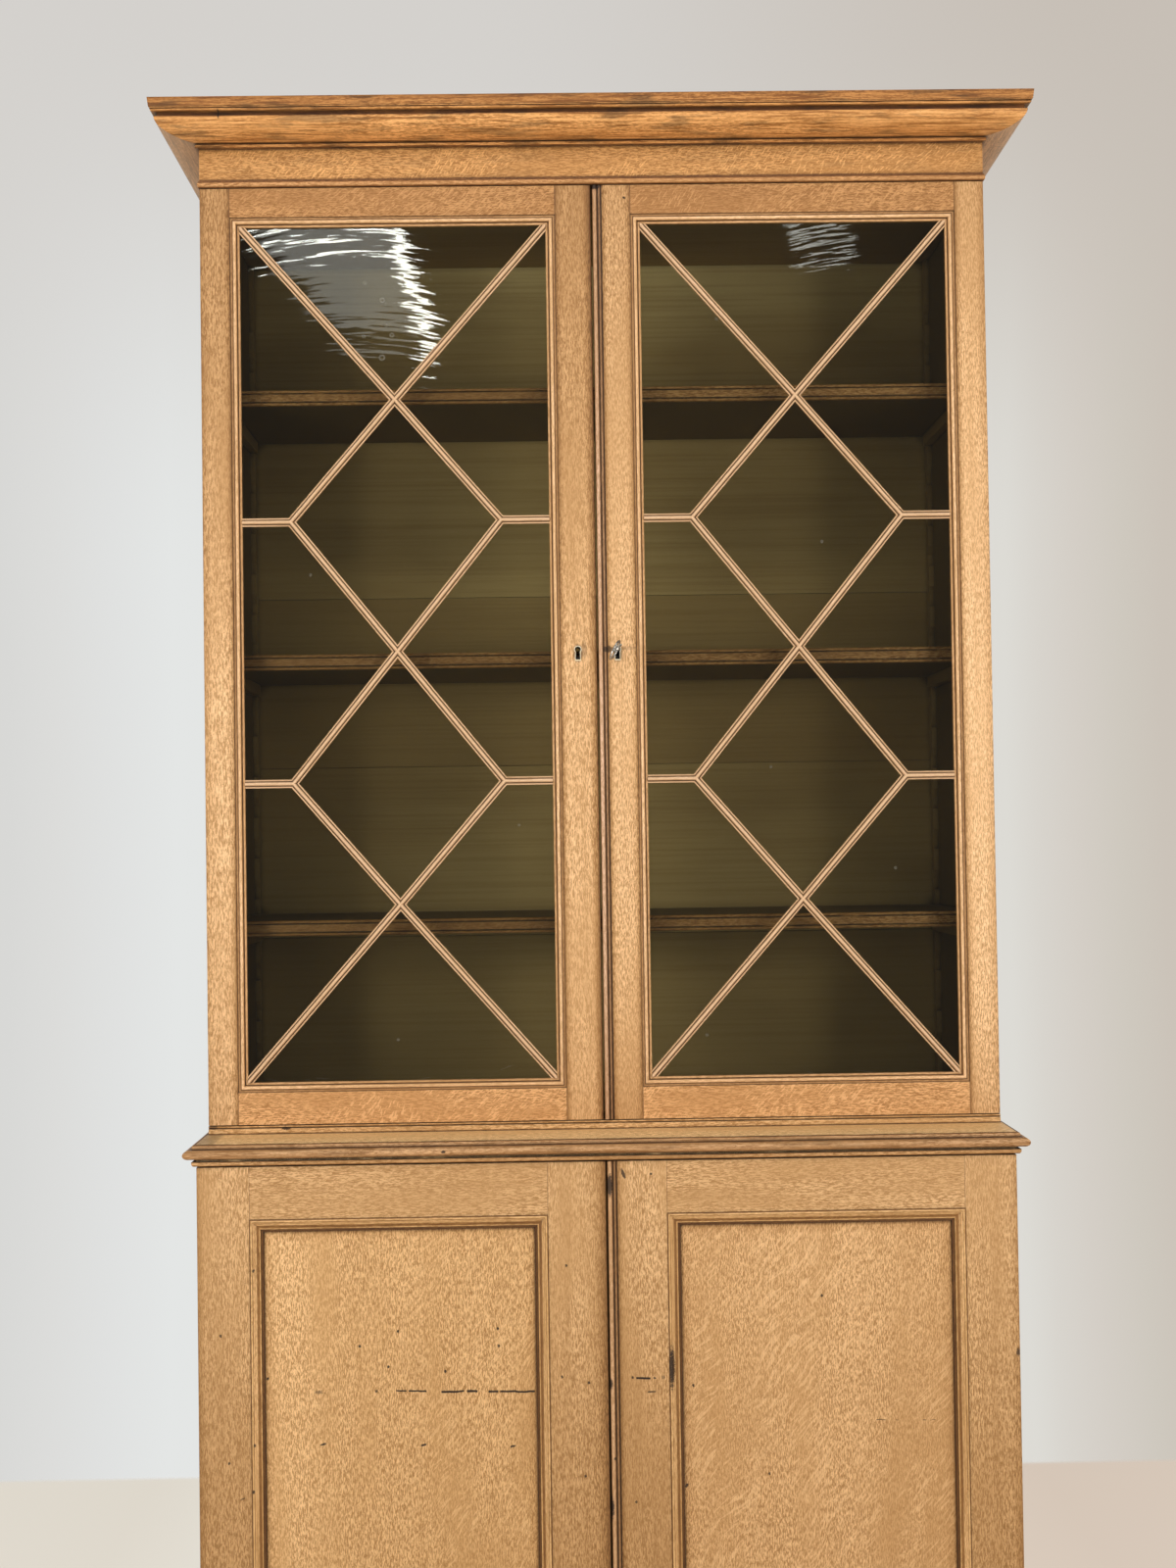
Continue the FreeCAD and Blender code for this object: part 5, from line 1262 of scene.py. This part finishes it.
def putty_behind(side):
    name = side + "_upper_putty"
    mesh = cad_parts[side + "_upper_panes"].data.copy()
    putty = new_piece(name, mesh)
    start_on(putty)
    pick_all()
    bpy.ops.mesh.remove_doubles(threshold=weld)
    bpy.ops.mesh.dissolve_limited(angle_limit=0.01)
    pick("FACE", lambda face: face.normal.y < 0.9)
    bpy.ops.mesh.delete(type="FACE")
    leave_edit()
    rim_keys = {as_key(corner) for corner in mesh.vertices}
    glass_back = max(corner.co.y for corner in mesh.vertices)
    bpy.ops.object.mode_set(mode="EDIT")
    pick_all()
    bpy.ops.mesh.inset(thickness=putty_width, use_individual=True)
    bpy.ops.mesh.delete(type="FACE")
    pick_all()
    bpy.ops.mesh.extrude_region_move(TRANSFORM_OT_translate={"value": (0, putty_height, 0)})
    pick("VERT", lambda corner: corner.co.y > glass_back + putty_height / 2
         and as_key(corner) not in rim_keys)
    bpy.ops.transform.translate(value=(0, putty_lip - putty_height, 0))
    pick_all()
    bpy.ops.mesh.normals_make_consistent(inside=False)
    leave_edit()
    mesh.materials.clear()
    mesh.materials.append(putty_finish)
    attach(putty, side + "_upper_door")
    print(name, "has", len(mesh.polygons), "faces")


recipe = new_recipe("putty")
place = recipe.object_place()
patch = recipe.rise(recipe.noise(place * 60, 3), 0.35, 0.65)
tone = recipe.blend(patch, paint(150, 138, 112), paint(104, 92, 68))
lumps = recipe.noise(place * 260, 3)
bump = recipe.bump(0.6, 0.0006, lumps)
recipe.shader(Base_Color=tone, Roughness=0.8, Normal=bump)
putty_finish = recipe.owner
for side in ("left", "right"):
    putty_behind(side)

# %% [markdown]
# ## Nails
# The back boards are nailed into the rebates of the sides, two nails to each board end. A cut nail's head is
# a small rough disc, a little domed. Half sunk in the wood, it needs only a bevelled cylinder.

# %% Joints of the back boards
def board_joints(node):
    """The heights of the joints between the back boards. The upper ones are counted from the first joint up,
    and the lower ones from the waist down. The ends of the case are no joints."""
    low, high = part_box(node)
    first = first_joint if node == "upper_back_boards" else high.z - 3 * board_height
    levels = [first + board_height * number for number in range(8)]
    return [z for z in levels if low.z + 0.03 < z < high.z - 0.03]


# %% Nails in the back boards
nail_radius = 0.0024
nail_depth = 0.0016
nail_stand = 0.0004
nail_ring, nail_dome = 0.35 * nail_radius, 0.6 * nail_stand
deselect_all()
bpy.ops.mesh.primitive_cylinder_add(vertices=10, radius=nail_radius, depth=nail_depth,
                                    location=(0, 0, nail_stand - nail_depth / 2))
nail_model = bpy.context.object
bpy.ops.object.transform_apply(location=True)
start_on(nail_model)
pick("FACE", lambda face: face.normal.z > 0.9)
bpy.ops.mesh.inset(thickness=nail_ring)
bpy.ops.transform.translate(value=(0, 0, nail_dome))
leave_edit()

nail_random = random.Random(62)
nail_inset = 0.007
nail_shares = (0.2, 0.8)
nail_places = []
for node in ("upper_back_boards", "lower_back_boards"):
    low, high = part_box(node)
    joints = [low.z, *board_joints(node), high.z]
    for bottom, top in zip(joints, joints[1:]):
        for x in (low.x + nail_inset, high.x - nail_inset):
            for share in nail_shares:
                z = bottom + (top - bottom) * share
                struck = (x + nail_random.uniform(-0.001, 0.001), high.y,
                          z + nail_random.uniform(-0.006, 0.006))
                nail_places.append(facing(struck, 1, nail_random.uniform(0, 1)))
copies(nail_model, nail_places, "back_board_nails", "case", iron)
bpy.data.objects.remove(nail_model)
print("nails:", len(nail_places))

# %% [markdown]
# ## Paper behind the joints
# From behind, the open joints between the back boards were covered with strips of brown paper, glued on to
# keep the dust and the light out. A strip is a sheet that has been divided into short lengths. Its corners
# are pushed a little in and out, because glued paper never dries flat, and its long edges waver where the
# knife slipped.

# %% Paper strips
paper_width = 0.045
paper_thickness = 0.0004
paper_lengths = 48
paper_wave = 0.00025
knife_slip = 0.0008
paper_inset = 0.012


def paper_strip(name, low_x, high_x, joint_z, face_y, seed):
    deselect_all()
    middle = ((low_x + high_x) / 2, face_y + paper_thickness, joint_z)
    bpy.ops.mesh.primitive_plane_add(size=1, location=middle, rotation=(-math.pi / 2, 0, 0))
    strip = bpy.context.object
    strip.name = name
    bpy.ops.transform.resize(value=(high_x - low_x, 1, paper_width))
    bpy.ops.object.transform_apply(location=True, rotation=True, scale=True)
    start_on(strip)
    pick_all()
    bpy.ops.mesh.subdivide(number_cuts=3)
    for number in range(1, paper_lengths):
        pick_all()
        x = low_x + (high_x - low_x) * number / paper_lengths
        bpy.ops.mesh.bisect(plane_co=(x, 0, 0), plane_no=(1, 0, 0))
    leave_edit()
    wander = random.Random(seed)
    for corner in strip.data.vertices:
        corner.co.y += wander.uniform(0, paper_wave)
        if abs(corner.co.z - joint_z) > paper_width * 0.49:
            corner.co.z += wander.uniform(-knife_slip, knife_slip)
    thick = strip.modifiers.new("thickness", "SOLIDIFY")
    thick.thickness = paper_thickness
    bpy.ops.object.modifier_apply(modifier="thickness")
    strip.data.materials.append(paper_finish)
    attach(strip, "case")


recipe = new_recipe("brown_paper")
place = recipe.object_place()
stain = recipe.rise(recipe.noise(place * 9, 3, 0.6), 0.35, 0.7)
tone = recipe.blend(stain * 0.7, paint(150, 118, 78), paint(104, 78, 48))
fibres = recipe.noise(place * (300, 300, 900), 3)
tone = recipe.blend(recipe.rise(fibres, 0.4, 0.7) * 0.3, tone, paint(176, 146, 104))
bump = recipe.bump(0.4, 0.0003, fibres)
recipe.shader(Base_Color=tone, Roughness=0.85, Normal=bump)
paper_finish = recipe.owner
strips = 0
for node in ("upper_back_boards", "lower_back_boards"):
    low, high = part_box(node)
    for joint_z in board_joints(node):
        strips += 1
        ends = (low.x + paper_inset, high.x - paper_inset)
        paper_strip(f"joint_paper_{strips}", *ends, joint_z, high.y, 70 + strips)
print("paper strips:", strips)

# %% [markdown]
# ## Done
# The view transform stays plain, so that a colour looks as it was mixed.

# %% Finish
bpy.context.scene.view_settings.view_transform = "Standard"
